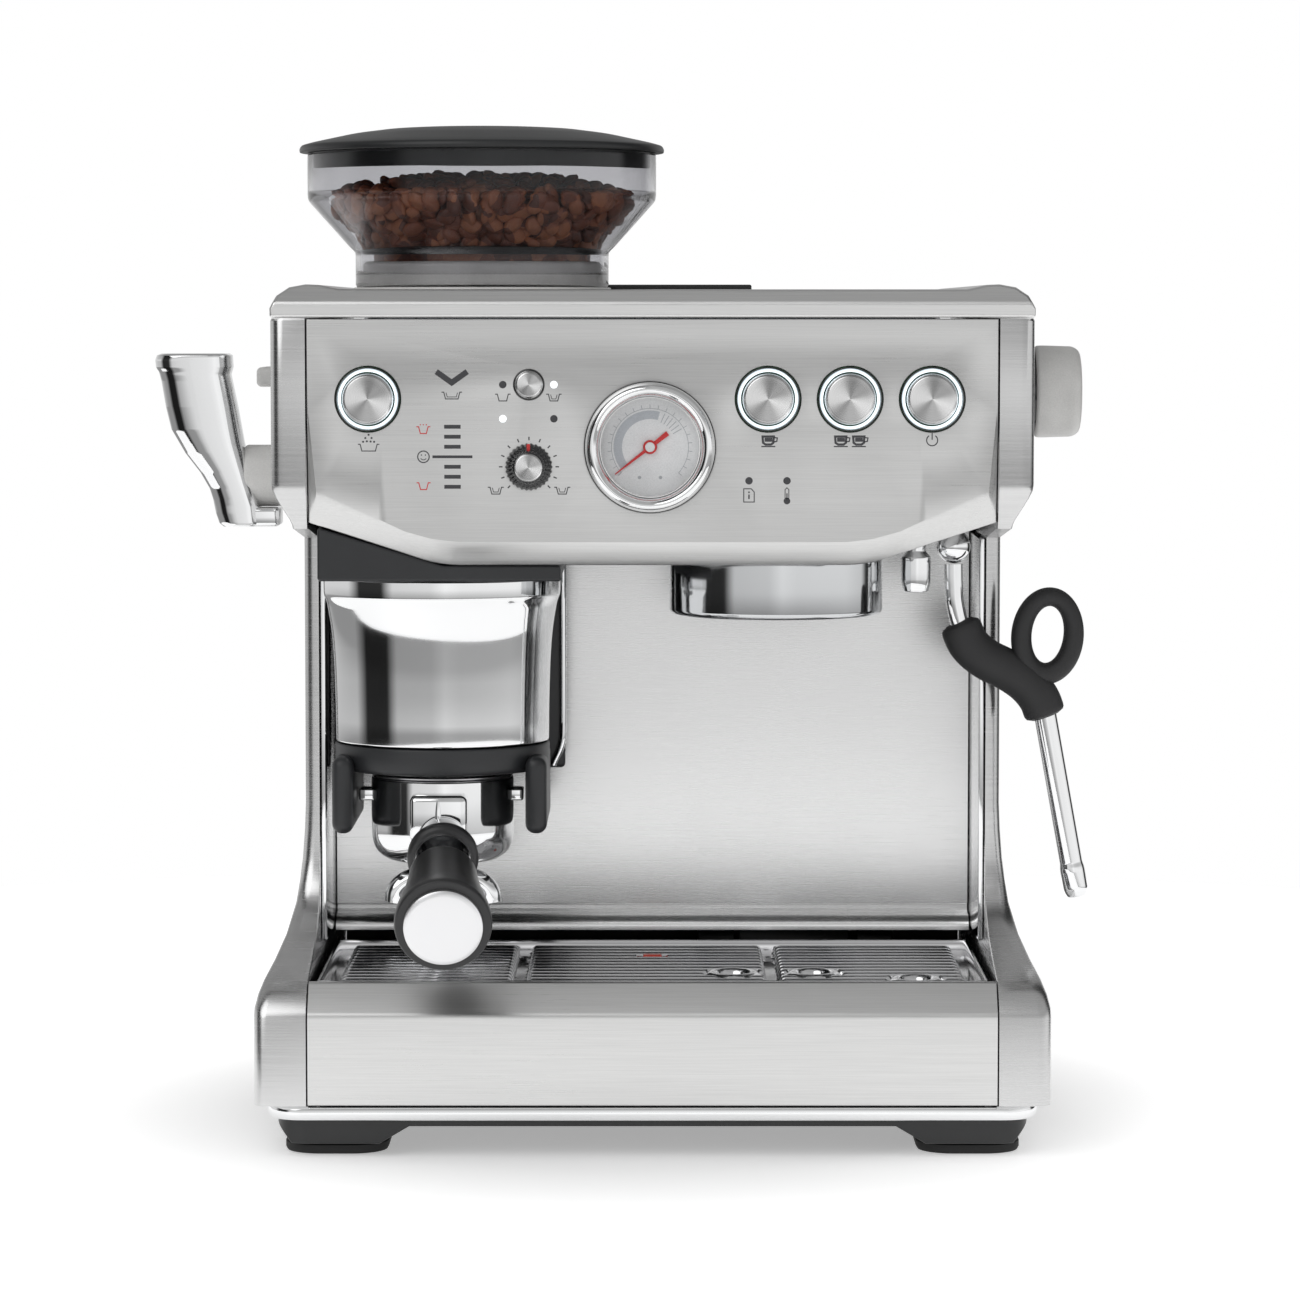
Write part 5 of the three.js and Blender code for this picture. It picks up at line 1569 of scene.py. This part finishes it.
@dataclass
class BrewGroup:
    """The group head, gasket and shower screen, and the hot-water spout beside it."""

    shop: Workshop

    def build(self) -> None:
        """Builds the group."""
        shop, finishes = self.shop, self.shop.finishes
        box = NodeBox.of("group_head")
        x, y = box.centre[:2]
        low, high = box.low[2], box.high[2]
        bore = 34.0
        shell = revolved([
            (0, low + 19), (bore, low + 19, 0.6), (bore, low + 0.8, 0.8), (bore + 1.4, low, 0.6), (42.6, low, 1.2),
            (44.0, low + 1.6, 1.0),
            (44.0, low + 22.6, 0.3), (38.0, low + 22.6), (38.0, high), (0, high)], 144)
        shop.piece("group_head_fine", shell.moved((x, y, 0)), finishes.dark_chrome, nodes=("group_head",))
        gasket = NodeBox.of("group_gasket")
        ring = revolved([(26, gasket.low[2], 0.6), (33.6, gasket.low[2], 0.8), (33.6, gasket.high[2], 0.4),
                         (26, gasket.high[2], 0.4)], 96, closed=True)
        shop.piece("group_gasket_fine", ring.moved((x, y, 0)), finishes.rubber, nodes=("group_gasket",))
        shop.piece("shower_screen_fine", self.screen(NodeBox.of("shower_screen")), finishes.machined,
                   nodes=("shower_screen",))
        spout = NodeBox.of("hot_water_spout")
        nozzle = revolved([(0, spout.low[2] + 1), (3.4, spout.low[2] + 1, 0.2), (3.9, spout.low[2], 0.3),
                           (5.2, spout.low[2] + 0.2, 0.5),
                           (6.0, spout.low[2] + 4, 1.5), (6.0, spout.low[2] + 14.5, 0.4),
                           (4.0, spout.low[2] + 16.9, 0.3), (4.0, spout.high[2]),
                           (0, spout.high[2])], 64)
        shop.piece("hot_water_spout_fine", nozzle.moved((*spout.centre[:2], 0)), finishes.chrome,
                   nodes=("hot_water_spout",))

    def screen(self, box: NodeBox) -> Surface:
        """The shower screen: a shallow dish with rings of holes drawn as flat dark discs, painted shade, and a screw in
        the middle.
        """
        radius, low, high = box.size[0] / 2, box.low[2], box.high[2]
        dish = revolved([(0, low + 0.6), (3.4, low + 0.6), (3.6, low + 0.9), (5, low + 0.9), (5.4, low + 0.3, 0.5),
                         (radius - 2, low, 1),
                         (radius, low + 1.4, 0.8), (radius, high, 0.3), (0, high)], 96).moved((*box.centre[:2], 0))
        # painted shade: each hole is a thin dark disc set into the dish's face, in place of the shade inside a real
        # hole
        holes = [revolved([(0, 0), (0.75, 0), (0.75, 0.3), (0, 0.3)], 10).moved((
            box.centre[0] + reach * math.cos(place), box.centre[1] + reach * math.sin(place),
            low + 0.25 * (1 - reach / radius) - 0.05))
            for reach, count in ((9, 12), (13, 18), (17, 24), (21, 30)) for place in np.linspace(0, 2 * np.pi, count,
                                                                                                 endpoint=False)]
        marks = Surface.joined(*holes)
        self.shop.piece("shower_hole_shade_discs", marks, self.shop.finishes.print_dark, slot="black_plastic")
        return dish


@dataclass
class SteamArm:
    """The steam ball joint, bent wand and rubber grip with its finger loop."""

    shop: Workshop
    route: tuple[tuple[float, float, float], ...] = (
        (0, 0, -4), (0, 0, -7.3), (0.2, 0, -16), (1, 0, -25), (4.4, 0, -36), (12.6, 0, -46), (24.5, 0, -53),
        (33, 0, -60.5), (37.4, 0, -69))
    grip_route: tuple[tuple[float, float, float], ...] = (
        (2.4, 0, -31.4), (6.4, 0, -40.4), (13.4, 0, -46.6), (22, 0, -51), (30, 0, -56.4), (35.6, 0, -63),
        (38.5, 0, -70.6))

    def build(self) -> None:
        """Builds the arm."""
        shop, finishes = self.shop, self.shop.finishes
        ball_box = NodeBox.of("steam_ball")
        x, y = ball_box.centre[:2]
        self.pivot = np.array([x, y, ball_box.low[2] + 7.0])
        angle = np.linspace(-90, 58, 22) * np.pi / 180
        ball = [(7 * math.cos(a), 7 * math.sin(a)) for a in angle]
        top = ball_box.high[2] - self.pivot[2]
        turned = revolved([(0.0, -7.0), *ball[1:], (3.8, 6.2, 0.4), (3.8, top), (0, top)], 64)
        shop.piece("steam_ball_fine", turned.moved(self.pivot), finishes.chrome, "steam_swivel_ball", ("steam_ball",))
        upper = swept(smooth_path(self.route[1:], 80), 3.8)
        base, direction = np.array([37.6, 0, -66.0]), np.array([13.0, 0, -72.0])
        direction /= np.linalg.norm(direction)
        lower = revolved([(0, 0), (4.0, 0), (4.65, 1.5, 0.6), (4.65, 66.5, 0.5), (5.0, 68.3, 0.5), (5.1, 70, 0.5),
                          (5.0, 78.0, 1.6), (3.8, 80.8, 0.8),
                          (1.2, 81.0), (0, 80.6)], 64)
        matrix = np.column_stack([np.cross((0, 1, 0), direction), (0, 1, 0), direction])
        wand = Surface.joined(upper, lower.turned(matrix).moved(base))
        shop.piece("steam_wand_fine", wand.moved(self.pivot), finishes.chrome, "wand", ("steam_wand",))
        shop.piece("steam_grip_fine", self.grip().moved(self.pivot), finishes.rubber, "wand", ("steam_grip",))

    def grip(self) -> Surface:
        """The sleeve round the wand's bend, and the finger loop as a flattened ring."""
        path = smooth_path(self.grip_route, 46)
        t = np.linspace(0, 1, len(path))
        ends = np.minimum(np.sqrt(1 - np.clip(1 - t / 0.06, 0, 1) ** 2),
                          np.sqrt(1 - np.clip((t - 0.94) / 0.06, 0, 1) ** 2))
        sleeve = swept(path, 5.6 + 3.0 * ends, sides=36, squash=0.95)
        around = np.linspace(0, 2 * np.pi, 88, endpoint=False)
        middle = np.stack([10.8 * np.cos(around) + 0.3, 0 * around, 16.0 * np.sin(around) + 1.2], axis=-1)
        across = 4.2 - 0.3 * np.sin(around)
        section = np.linspace(0, 2 * np.pi, 22, endpoint=False)
        radial = np.stack([np.cos(around), 0 * around, np.sin(around)], axis=-1)
        flat = np.sign(np.sin(section)) * np.abs(np.sin(section)) ** 0.7
        ring = (middle[:, None] + (across[:, None] * np.cos(section)[None])[..., None] * radial[:, None]
                + (6.0 * flat)[None, :, None] * np.array([0.0, 1.0, 0.0]))
        loop = grid(ring, wrap_rows=True).turned(turn("Y", 5.7)).moved((38.6, 0, -38))
        return Surface.joined(sleeve, loop)


@dataclass
class SteamDial:
    """The steam dial on the right side: a soft grey knob on a dark collar."""

    shop: Workshop

    def build(self) -> None:
        """Builds the dial, facing right."""
        shop, finishes = self.shop, self.shop.finishes
        box = NodeBox.of("steam_dial")
        place = (NodeBox.of("right_side_panel").high[0] * 0 + box.low[0] - 0.3, box.centre[1], box.centre[2])
        knob = revolved([(0, 4.6), (17.6, 4.6, 0.3), (18.9, 5.4, 0.8), (19.0, 8.0, 2), (18.6, 20.4, 1.4),
                         (16.8, 23.2, 2.4), (10, 23.8, 3), (0, 24.0)], 128)
        collar = revolved([(0, 0.3), (17, 0.3), (17, 4.8, 0.2), (0, 4.8)], 96)
        shop.piece("steam_dial_knob", knob.turned(FACING_RIGHT).moved(place), finishes.grey, "steam_knob",
                   ("steam_dial",))
        shop.piece("steam_dial_collar", collar.turned(FACING_RIGHT).moved(place), finishes.gloss_black, "steam_knob",
                   slot="black_plastic")
        mark = ribbon([(0, 9.5), (0, 15)], 1.3, lift=0.2).turned(turn("Z", -90)).moved((0, 0,
                                                                                        23.55)).turned(FACING_RIGHT)
        shop.piece("steam_dial_pointer", mark.moved(place), finishes.print_dark, "steam_knob", slot="black_plastic")


@dataclass
class Portafilter:
    """The portafilter parked in the tamping cradle: body, basket, twin spout, handle and end cap."""

    shop: Workshop
    start: tuple[float, float, float] = (0, 0, 137)
    lean: tuple[float, float, float] = (6, -135, -36)

    def build(self) -> None:
        """Builds the portafilter."""
        shop, finishes = self.shop, self.shop.finishes
        basket_box = NodeBox.of("filter_basket")
        self.middle = np.array([*basket_box.centre[:2], 0.0])
        self.direction = np.array(self.lean, float) / np.linalg.norm(self.lean)
        self.length = float(np.linalg.norm(self.lean))
        body = revolved([(0, 112), (12, 112), (22.6, 113.4, 3), (27.6, 117, 3), (29.3, 122, 2), (29.5, 126, 1),
                         (29.5, 147.4, 0.6), (28.8, 148, 0.3),
                         (27.9, 147.6, 0.3), (27.6, 146, 0.4), (27.6, 123, 3), (24, 119, 2), (12, 117.4, 1), (0, 117)],
                        120)
        neck = self.along([(0, 24.5), (8.4, 24.5), (8.5, 29, 0.5), (9.2, 33, 2), (8.6, 41, 2), (8.6, 43.6, 0.2),
                           (0, 43.6)], 64)
        lugs = [rounded_block((sign * 31 - 3.4, -6, 138), (sign * 31 + 3.4 - 0.8 * (sign > 0), 6, 143),
                              0.9) for sign in (-1, 1)]
        block = rounded_block((-11.6, -43.4, 124.8), (11.6, -24, 143.6), 2.6, 5)
        drop_path = np.array([(0.0, -43.3, height) for height in np.linspace(130.5, 141.5, 16)])
        drop = swept(drop_path, 2.0 * np.sqrt(np.clip(np.sin(np.linspace(0.12, 2.6, 16)), 0.04, 1)) * np.linspace(1,
                                                                                                                  0.55,
                                                                                                                  16),
                     up=(1, 0, 0), squash=0.8)
        chrome = Surface.joined(body, block, drop, *lugs).moved(self.middle)
        shop.piece("portafilter_body_fine", Surface.joined(chrome, neck), finishes.chrome, "portafilter",
                   ("portafilter_body",))
        basket = revolved([
            (0, 124.5), (20, 124.5, 1.5), (25.6, 127, 2), (26.9, 147.6, 1), (29.3, 148.5, 0.3), (29.4, 149.2, 0.2),
            (26.6, 149.2, 0.6), (26.2, 146, 1),
            (24.8, 127.8, 2), (20, 125.3, 1), (0, 125.3)], 120)
        shop.piece("filter_basket_fine", basket.moved(self.middle), finishes.machined, "portafilter",
                   ("filter_basket",))
        shop.piece("portafilter_spout_fine", self.spout().moved(self.middle), finishes.chrome, "portafilter",
                   ("portafilter_spout",))
        self.handle()

    def along(self, profile: Profile, sides: int = 96) -> Surface:
        """Turns a profile about the handle's axis, its heights measured from the body's middle."""
        side = np.cross((0, 0, 1), self.direction)
        side /= np.linalg.norm(side)
        matrix = np.column_stack([side, np.cross(self.direction, side), self.direction])
        return revolved(profile, sides).turned(matrix).moved(self.middle + self.start)

    def spout(self) -> Surface:
        """A hub, and two channels that curve out and down to their open ends."""
        low, high = NodeBox.of("portafilter_spout").low[2], NodeBox.of("portafilter_spout").high[2]
        hub = revolved([(0, 102.6), (5, 102.6), (9, 104, 1.5), (9, high - 0.2, 0.3), (0, high - 0.2)], 64)
        horns = []
        for sign in (-1, 1):
            path = smooth_path([(sign * 2, 0, 106.4), (sign * 9, 0, 105.6), (sign * 15.4, 0, 103.4),
                                (sign * 19.2, 0, 99.6), (sign * 20, 0, low)], 40)
            horns.append(swept(path, np.linspace(4.6, 4.3, 40), sides=28))
        return Surface.joined(hub, *horns)

    def handle(self) -> None:
        """The handle: a chrome ferrule, a black collar, a chrome waist, a black grip and its domed cap."""
        shop, finishes = self.shop, self.shop.finishes
        end = self.length
        grip = [(0, 84), (12.4, 84), (13.6, 84.6, 0.6), (14.0, 90, 2), (15.0, 102, 8), (17.0, 116, 8), (18.9, 128, 4),
                (19.2, end - 6.6, 2),
                (18.6, end - 4.7, 0.8), (0, end - 4.7)]
        collar = [(0, 59), (12.0, 59), (14.3, 60.4, 0.9), (14.4, 64.8, 0.7), (13.0, 66.2, 0.5), (0, 66.2)]
        black = Surface.joined(self.along(grip, 120), self.along(collar))
        shop.piece("portafilter_handle_grip", black, finishes.handle_black, "portafilter", ("portafilter_handle",))
        waist = [(0, 43.9), (9.6, 43.9), (10.4, 46, 1), (11.6, 54, 2), (11.9, 59.4), (12.3, 66), (12.2, 75, 2),
                 (12.6, 84.2), (0, 84.2)]
        shop.piece("portafilter_handle_waist", self.along(waist), finishes.chrome, "portafilter", slot="chrome")
        dome = [(0, end - 4.5), (15.4, end - 4.5), (15.5, end - 2.4, 0.4), (14.0, end - 1.5, 1.0), (9, end - 0.9, 2),
                (0, end - 0.5)]
        shop.piece("handle_cap_fine", self.along(dome), finishes.cap_chrome, "portafilter", ("handle_cap",))


# ---------------------------------------------------------------- drip tray, tank and internals


@dataclass
class DripTray:
    """The drip tray: its front, its tub, the pressed grille and the float."""

    shop: Workshop
    rows: int = 12
    pitch: float = 9.0
    first_slot: float = -133.0
    end_rounding: float = 0.8
    rib_width: float = 2.6
    slot_width: float = 1.9
    fields: tuple[tuple[float, float], ...] = ((-127, -57), (-51, 46), (52, 127))

    def build(self) -> None:
        """Builds the tray."""
        shop, finishes = self.shop, self.shop.finishes
        shop.refined("drip_tray", finishes.black, "tray", width=0.8)
        shop.piece("tray_front_fine", self.front(), finishes.tray_steel, "tray", ("tray_front",), sharp=40)
        shop.piece("drip_grille_fine", self.grille(NodeBox.of("drip_grille")), finishes.grille, "grille",
                   ("drip_grille",), sharp=50)
        shop.refined("tray_float", finishes.float_red, "float", width=0.8)

    def front(self) -> Surface:
        """The tray's front: one section carried across the machine, with closer stations near its two ends."""
        box = NodeBox.of("tray_front")
        front, low, high = box.low[1], box.low[2], box.high[2]
        section = filleted([
            (front + 3, low), (front, low, 0.6), (front, low + 36.4, 1.6), (front + 9.6, high - 0.2, 1.2),
            (front + 11.4, high, 0.4),
            (front + 11.4, high - 2.6), (front + 8.6, high - 3.6), (front + 3, high - 12)], 5)
        half = box.high[0]
        steps = self.end_rounding * (1 - np.sin(np.linspace(0, np.pi / 2, 6)))
        places = np.sort(np.concatenate([steps - half, half - steps]))
        rings = [np.column_stack([np.full(len(section), place), section[::-1]]) for place in places]
        return grid(np.stack(rings), cap_start=True, cap_end=True)

    def grille(self, box: NodeBox) -> Surface:
        """The pressed grille: a height field with raised ribs in three fields, slots between, and a rolled rim.

        The sheet's height is a base plus h for each rib: h = rise sqrt(1 - (d / w)^2) with d the distance to
        the rib's line segment, so ribs end in half domes. Dimples lower it the same way.
        """
        half, front, rear = box.size[0] / 2 + 1.6, box.low[1], box.high[1] + 2.4
        top, base = box.high[2], box.high[2] - 4.6
        xs = np.linspace(-half + 2.2, half - 2.2, 340)
        ys = np.linspace(front + 2.2, rear - 2.2, 240)
        x, y = np.meshgrid(xs, ys, indexing="ij")
        height = np.full_like(x, base)
        for start, end in self.fields:
            for row in range(self.rows + 1):
                middle = self.first_slot - self.pitch / 2 + self.pitch * row
                inset_start, inset_end = (6, 4) if row == 0 and start == -51 else (2, 2)
                begin, finish = start + inset_start, end - inset_end
                reach = np.maximum(np.maximum(begin - x, x - finish), 0)
                distance = np.hypot(reach, y - middle)
                height = np.maximum(height, base + 3.6 * np.sqrt(np.clip(1 - (distance / self.rib_width) ** 2, 0, 1)))
                slot = np.hypot(reach, y - (middle + self.pitch / 2))
                if row < self.rows:
                    cut = base - 5.0 * np.sqrt(np.clip(1 - (slot / self.slot_width) ** 2, 0, 1))
                    height = np.minimum(height, cut + 20 * (slot > self.slot_width))
        for ring_x, ring_y, radius in ((33.0, -109.0, 9.0), (66.0, -109.0, 9.0), (107.0, -127.0, 8.6)):
            distance = np.hypot(x - ring_x, (y - ring_y) * 0.9)
            inside_ring = np.clip((radius + 3.4 - distance) / 2.0, 0, 1)
            ring = base + 3.9 * np.sqrt(np.clip(1 - ((distance - radius) / 2.6) ** 2, 0,
                                                1)) - 1.8 * np.clip(1 - (distance / (radius - 2.6)) ** 2, 0, 1)
            height = height * (1 - inside_ring) + ring * inside_ring
        for hole_x, hole_y, radius in ((49, -118, 1.7), (-54, -118, 1.7), (49, -46, 1.7), (-54, -46, 1.7)):
            distance = np.hypot(x - hole_x, y - hole_y)
            height = np.maximum(height, base + 0.9 * np.exp(-((distance - radius - 0.8) / 0.5) ** 2))
            height = np.minimum(height, base - 1.6 * np.clip(1 - (distance / radius) ** 2, 0,
                                                             1) + 20 * (distance > radius))
        float_edge = np.maximum(np.abs(x) - 6.5, np.abs(y + 60) - 5)
        height = np.where(float_edge < 0, base - 6, height)
        rim = filleted([(0, 0), (0, top - 1.6 - base, 1.0), (-0.9, top - base, 0.8), (-2.2, top - 0.6 - base, 0.8),
                        (-2.2, 0)], 5)
        upper = np.stack([x, y, height], axis=-1)
        index = np.arange(x.size).reshape(x.shape)
        quads = np.stack([index[:-1, :-1], index[1:, :-1], index[1:, 1:], index[:-1, 1:]], axis=-1).reshape(-1, 4)
        border = np.concatenate([index[:, 0], index[-1, 1:], index[-2::-1, -1], index[0, -2:0:-1]])
        edge = upper.reshape(-1, 3)[border]
        outline = edge[:, :2]
        middle = np.array([0.0, (front + rear) / 2])
        scale_x, scale_y = half / (half - 2.2), (rear - front) / 2 / ((rear - front) / 2 - 2.2)
        outer = (outline - middle) * (scale_x, scale_y) + middle
        rings = [np.column_stack([outline + (outer - outline) * share, np.full(len(border), level)]) for share,
                 level in (
            (0.05, base + 1.8), (0.2, top - 0.5), (0.45, top), (0.75, top - 0.15), (0.97, top - 1.0), (1.0, top - 2.4),
            (1.0, box.low[2] + 0.4),
            (0.9, box.low[2]), (0.3, box.low[2]), (0.0, base - 6.4))]
        count, size = len(border), x.size
        points = [upper.reshape(-1, 3), *rings]
        faces = quads.tolist()
        previous = border
        for number in range(len(rings)):
            current = size + number * count + np.arange(count)
            faces += np.stack([previous, current, np.roll(current, -1), np.roll(previous, -1)], axis=-1).tolist()
            previous = current
        faces.append(previous[::-1].tolist())
        LOG.info("grille rim of %d points", len(rim))
        return Surface(np.vstack(points), faces)


@dataclass
class WaterTank:
    """The water tank at the back and its lid."""

    shop: Workshop

    def build(self) -> None:
        """Dresses the tank and rounds the lid."""
        shop, finishes = self.shop, self.shop.finishes
        shop.refined("water_tank", finishes.tank, "tank", width=2.4, segments=4, sharp=45)
        shop.refined("tank_lid", finishes.black, "tank_cover", width=0.9, sharp=40)


@dataclass
class Internals:
    """The grinder, pump, heater and motor inside the casing."""

    shop: Workshop

    def build(self) -> None:
        """Dresses the parts that stay hidden inside."""
        shop, finishes = self.shop, self.shop.finishes
        shop.refined("grinder_body", finishes.black, width=0.8, sharp=40)
        shop.refined("grinder_motor", finishes.machined, width=0.8, sharp=40)
        shop.refined("pump", finishes.black, width=0.8, sharp=40)
        shop.refined("thermocoil", finishes.machined, width=0.8, sharp=40)
        shop.dress("upper_burr", finishes.machined)
        shop.dress("lower_burr", finishes.machined)
        shop.dress("drive_gear", finishes.grey)


# ---------------------------------------------------------------- studio


@dataclass
class Studio:
    """The pale floor, the soft lights and the camera."""

    eye: tuple[float, float, float] = (-1.0, -2005.0, 339.0)
    tilt: float = 4.13
    lens: float = 129.1
    room_strength: float = 1.08
    sun_power: float = 0.8
    floor_glow: float = 0.72
    floor_radius: float = 0.85
    sun_direction: tuple[float, float, float] = (0.7, 0.9, -0.95)
    sun_width: float = 50.0
    round_levels: tuple[tuple[float, float], ...] = (
        (0.0, 0.7), (0.22, 0.7), (0.262, 0.03), (0.338, 0.03), (0.37, 0.72), (0.475, 0.78), (0.515, 1.0), (0.56, 0.92),
        (0.72, 0.95), (0.79, 0.8), (0.812, 0.04),
        (0.885, 0.04), (0.91, 0.7), (1.0, 0.7))
    height_levels: tuple[tuple[float, float], ...] = (
        (0.0, 0.3), (0.42, 0.4), (0.475, 0.95), (0.55, 1.0), (0.64, 0.62), (0.72, 0.36), (0.8, 0.5), (0.9, 0.42),
        (1.0, 0.42))

    def build(self) -> None:
        """Builds the studio."""
        self.floor()
        self.world()
        self.sun()
        self.camera()

    def floor(self) -> None:
        """A round pale floor with a faint mottle, glowing a little so that it runs into the backdrop."""
        turns = np.linspace(0, 2 * np.pi, 96, endpoint=False)
        rim = np.column_stack([np.cos(turns), np.sin(turns), 0 * turns]) * self.floor_radius
        mesh = bpy.data.meshes.new("floor")
        mesh.from_pydata(rim.tolist(), [], [list(range(len(rim)))])
        graph = Graph("floor_matte")
        clouds = graph.noise(6, (1, 1, 1), 3.0, 0.5)
        reach = Value(graph, graph.node("ShaderNodeVectorMath", {"operation": "LENGTH"},
                                        {0: graph.place}).outputs["Value"])
        graph.set(Base_Color=graph.ramp(clouds, [(0.3, (0.87, 0.87, 0.87)), (0.7, (0.89, 0.89, 0.89))]),
                  Roughness=clouds * 0.1 + 0.55,
                  # painted light: the floor glows, at half strength within 0.15 m of its middle and at full strength
                  # beyond 0.25 m, so that the shade under the machine stays
                  Emission_Color=graph.ramp(reach, [(0.15, (0.5, 0.5, 0.5)), (0.25, (1.0, 1.0, 1.0))]),
                  Emission_Strength=self.floor_glow)
        mesh.materials.append(graph.material)
        floor = bpy.data.objects.new("floor", mesh)
        bpy.context.scene.collection.objects.link(floor)

    def world(self) -> None:
        """A white backdrop for the camera, and a bright room with two dark flags for what reflects it.

        The room's level is a ramp over the direction round the machine times a ramp over its height.
        """
        world = bpy.data.worlds.new("studio")
        world.use_nodes = True
        tree = world.node_tree
        tree.nodes.clear()

        def node(kind: str, settings: dict, inputs: dict) -> bpy.types.Node:
            """Adds a node with its settings and inputs."""
            made = tree.nodes.new(kind)
            for name, setting in settings.items():
                setattr(made, name, setting)
            for name, value in inputs.items():
                if isinstance(value, bpy.types.NodeSocket):
                    tree.links.new(value, made.inputs[name])
                else:
                    made.inputs[name].default_value = value
            return made

        def ramp(value: bpy.types.NodeSocket, stops: Sequence[tuple[float, float]]) -> bpy.types.NodeSocket:
            """Turns a value into a grey level."""
            made = node("ShaderNodeValToRGB", {}, {0: value})
            fill_ramp(made.color_ramp, [(position, (level, level, level)) for position, level in stops])
            return made.outputs[0]

        place = node("ShaderNodeTexCoord", {}, {}).outputs["Generated"]
        split = node("ShaderNodeSeparateXYZ", {}, {0: place}).outputs
        back = node("ShaderNodeMath", {"operation": "MULTIPLY"}, {0: split[1], 1: -1.0}).outputs[0]
        angle = node("ShaderNodeMath", {"operation": "ARCTAN2"}, {0: split[0], 1: back}).outputs[0]
        around = node("ShaderNodeMath", {"operation": "MULTIPLY_ADD"}, {0: angle, 1: 0.5 / math.pi, 2: 0.5}).outputs[0]
        height = node("ShaderNodeMath", {"operation": "MULTIPLY_ADD"}, {0: split[2], 1: 0.5, 2: 0.5}).outputs[0]
        sides = ramp(around, self.round_levels)
        levels = ramp(height, self.height_levels)
        product = node("ShaderNodeMix", {"data_type": "RGBA", "blend_type": "MULTIPLY"}, {0: 1.0})
        tree.links.new(sides, product.inputs[6])
        tree.links.new(levels, product.inputs[7])
        room = node("ShaderNodeBackground", {}, {0: product.outputs[2], 1: self.room_strength})
        white = node("ShaderNodeBackground", {}, {0: (1.0, 1.0, 1.0, 1.0), 1: 1.0})
        ray = node("ShaderNodeLightPath", {}, {}).outputs["Is Camera Ray"]
        mix = node("ShaderNodeMixShader", {}, {0: ray, 1: room.outputs[0], 2: white.outputs[0]})
        node("ShaderNodeOutputWorld", {}, {0: mix.outputs[0]})
        bpy.context.scene.world = world

    def sun(self) -> None:
        """One wide soft light from the upper left front."""
        data = bpy.data.lights.new("key_light", "SUN")
        data.energy, data.angle = self.sun_power, math.radians(self.sun_width)
        made = bpy.data.objects.new("key_light", data)
        made.location = (-1.0, -1.5, 2.0)
        made.rotation_euler = Vector(self.sun_direction).to_track_quat("-Z", "Y").to_euler()
        bpy.context.scene.collection.objects.link(made)

    def camera(self) -> None:
        """The camera: straight in front, a little above the middle, looking slightly down."""
        data = bpy.data.cameras.new("camera")
        data.lens, data.sensor_width = self.lens, 36.0
        made = bpy.data.objects.new("camera", data)
        made.location = Vector(np.array(self.eye) * MM + HOME)
        made.rotation_euler = (math.radians(90 - self.tilt), 0, 0)
        bpy.context.scene.collection.objects.link(made)
        bpy.context.scene.camera = made
        bpy.context.scene.view_settings.view_transform = "Standard"


def main() -> None:
    """Builds the machine one sub-assembly at a time, then the studio."""
    logging.basicConfig(level=logging.INFO, format="%(message)s")
    shop = Workshop(Finishes())
    assemblies = (Base, Casing, ControlPanel, TampUnit, Lever, GrindDial, Hopper, BrewGroup, SteamArm, SteamDial,
                  Portafilter,
                  DripTray, WaterTank, Internals)
    for assembly in assemblies:
        LOG.info("building %s", assembly.__name__)
        assembly(shop).build()
    Studio().build()


if __name__ == "__main__":
    main()
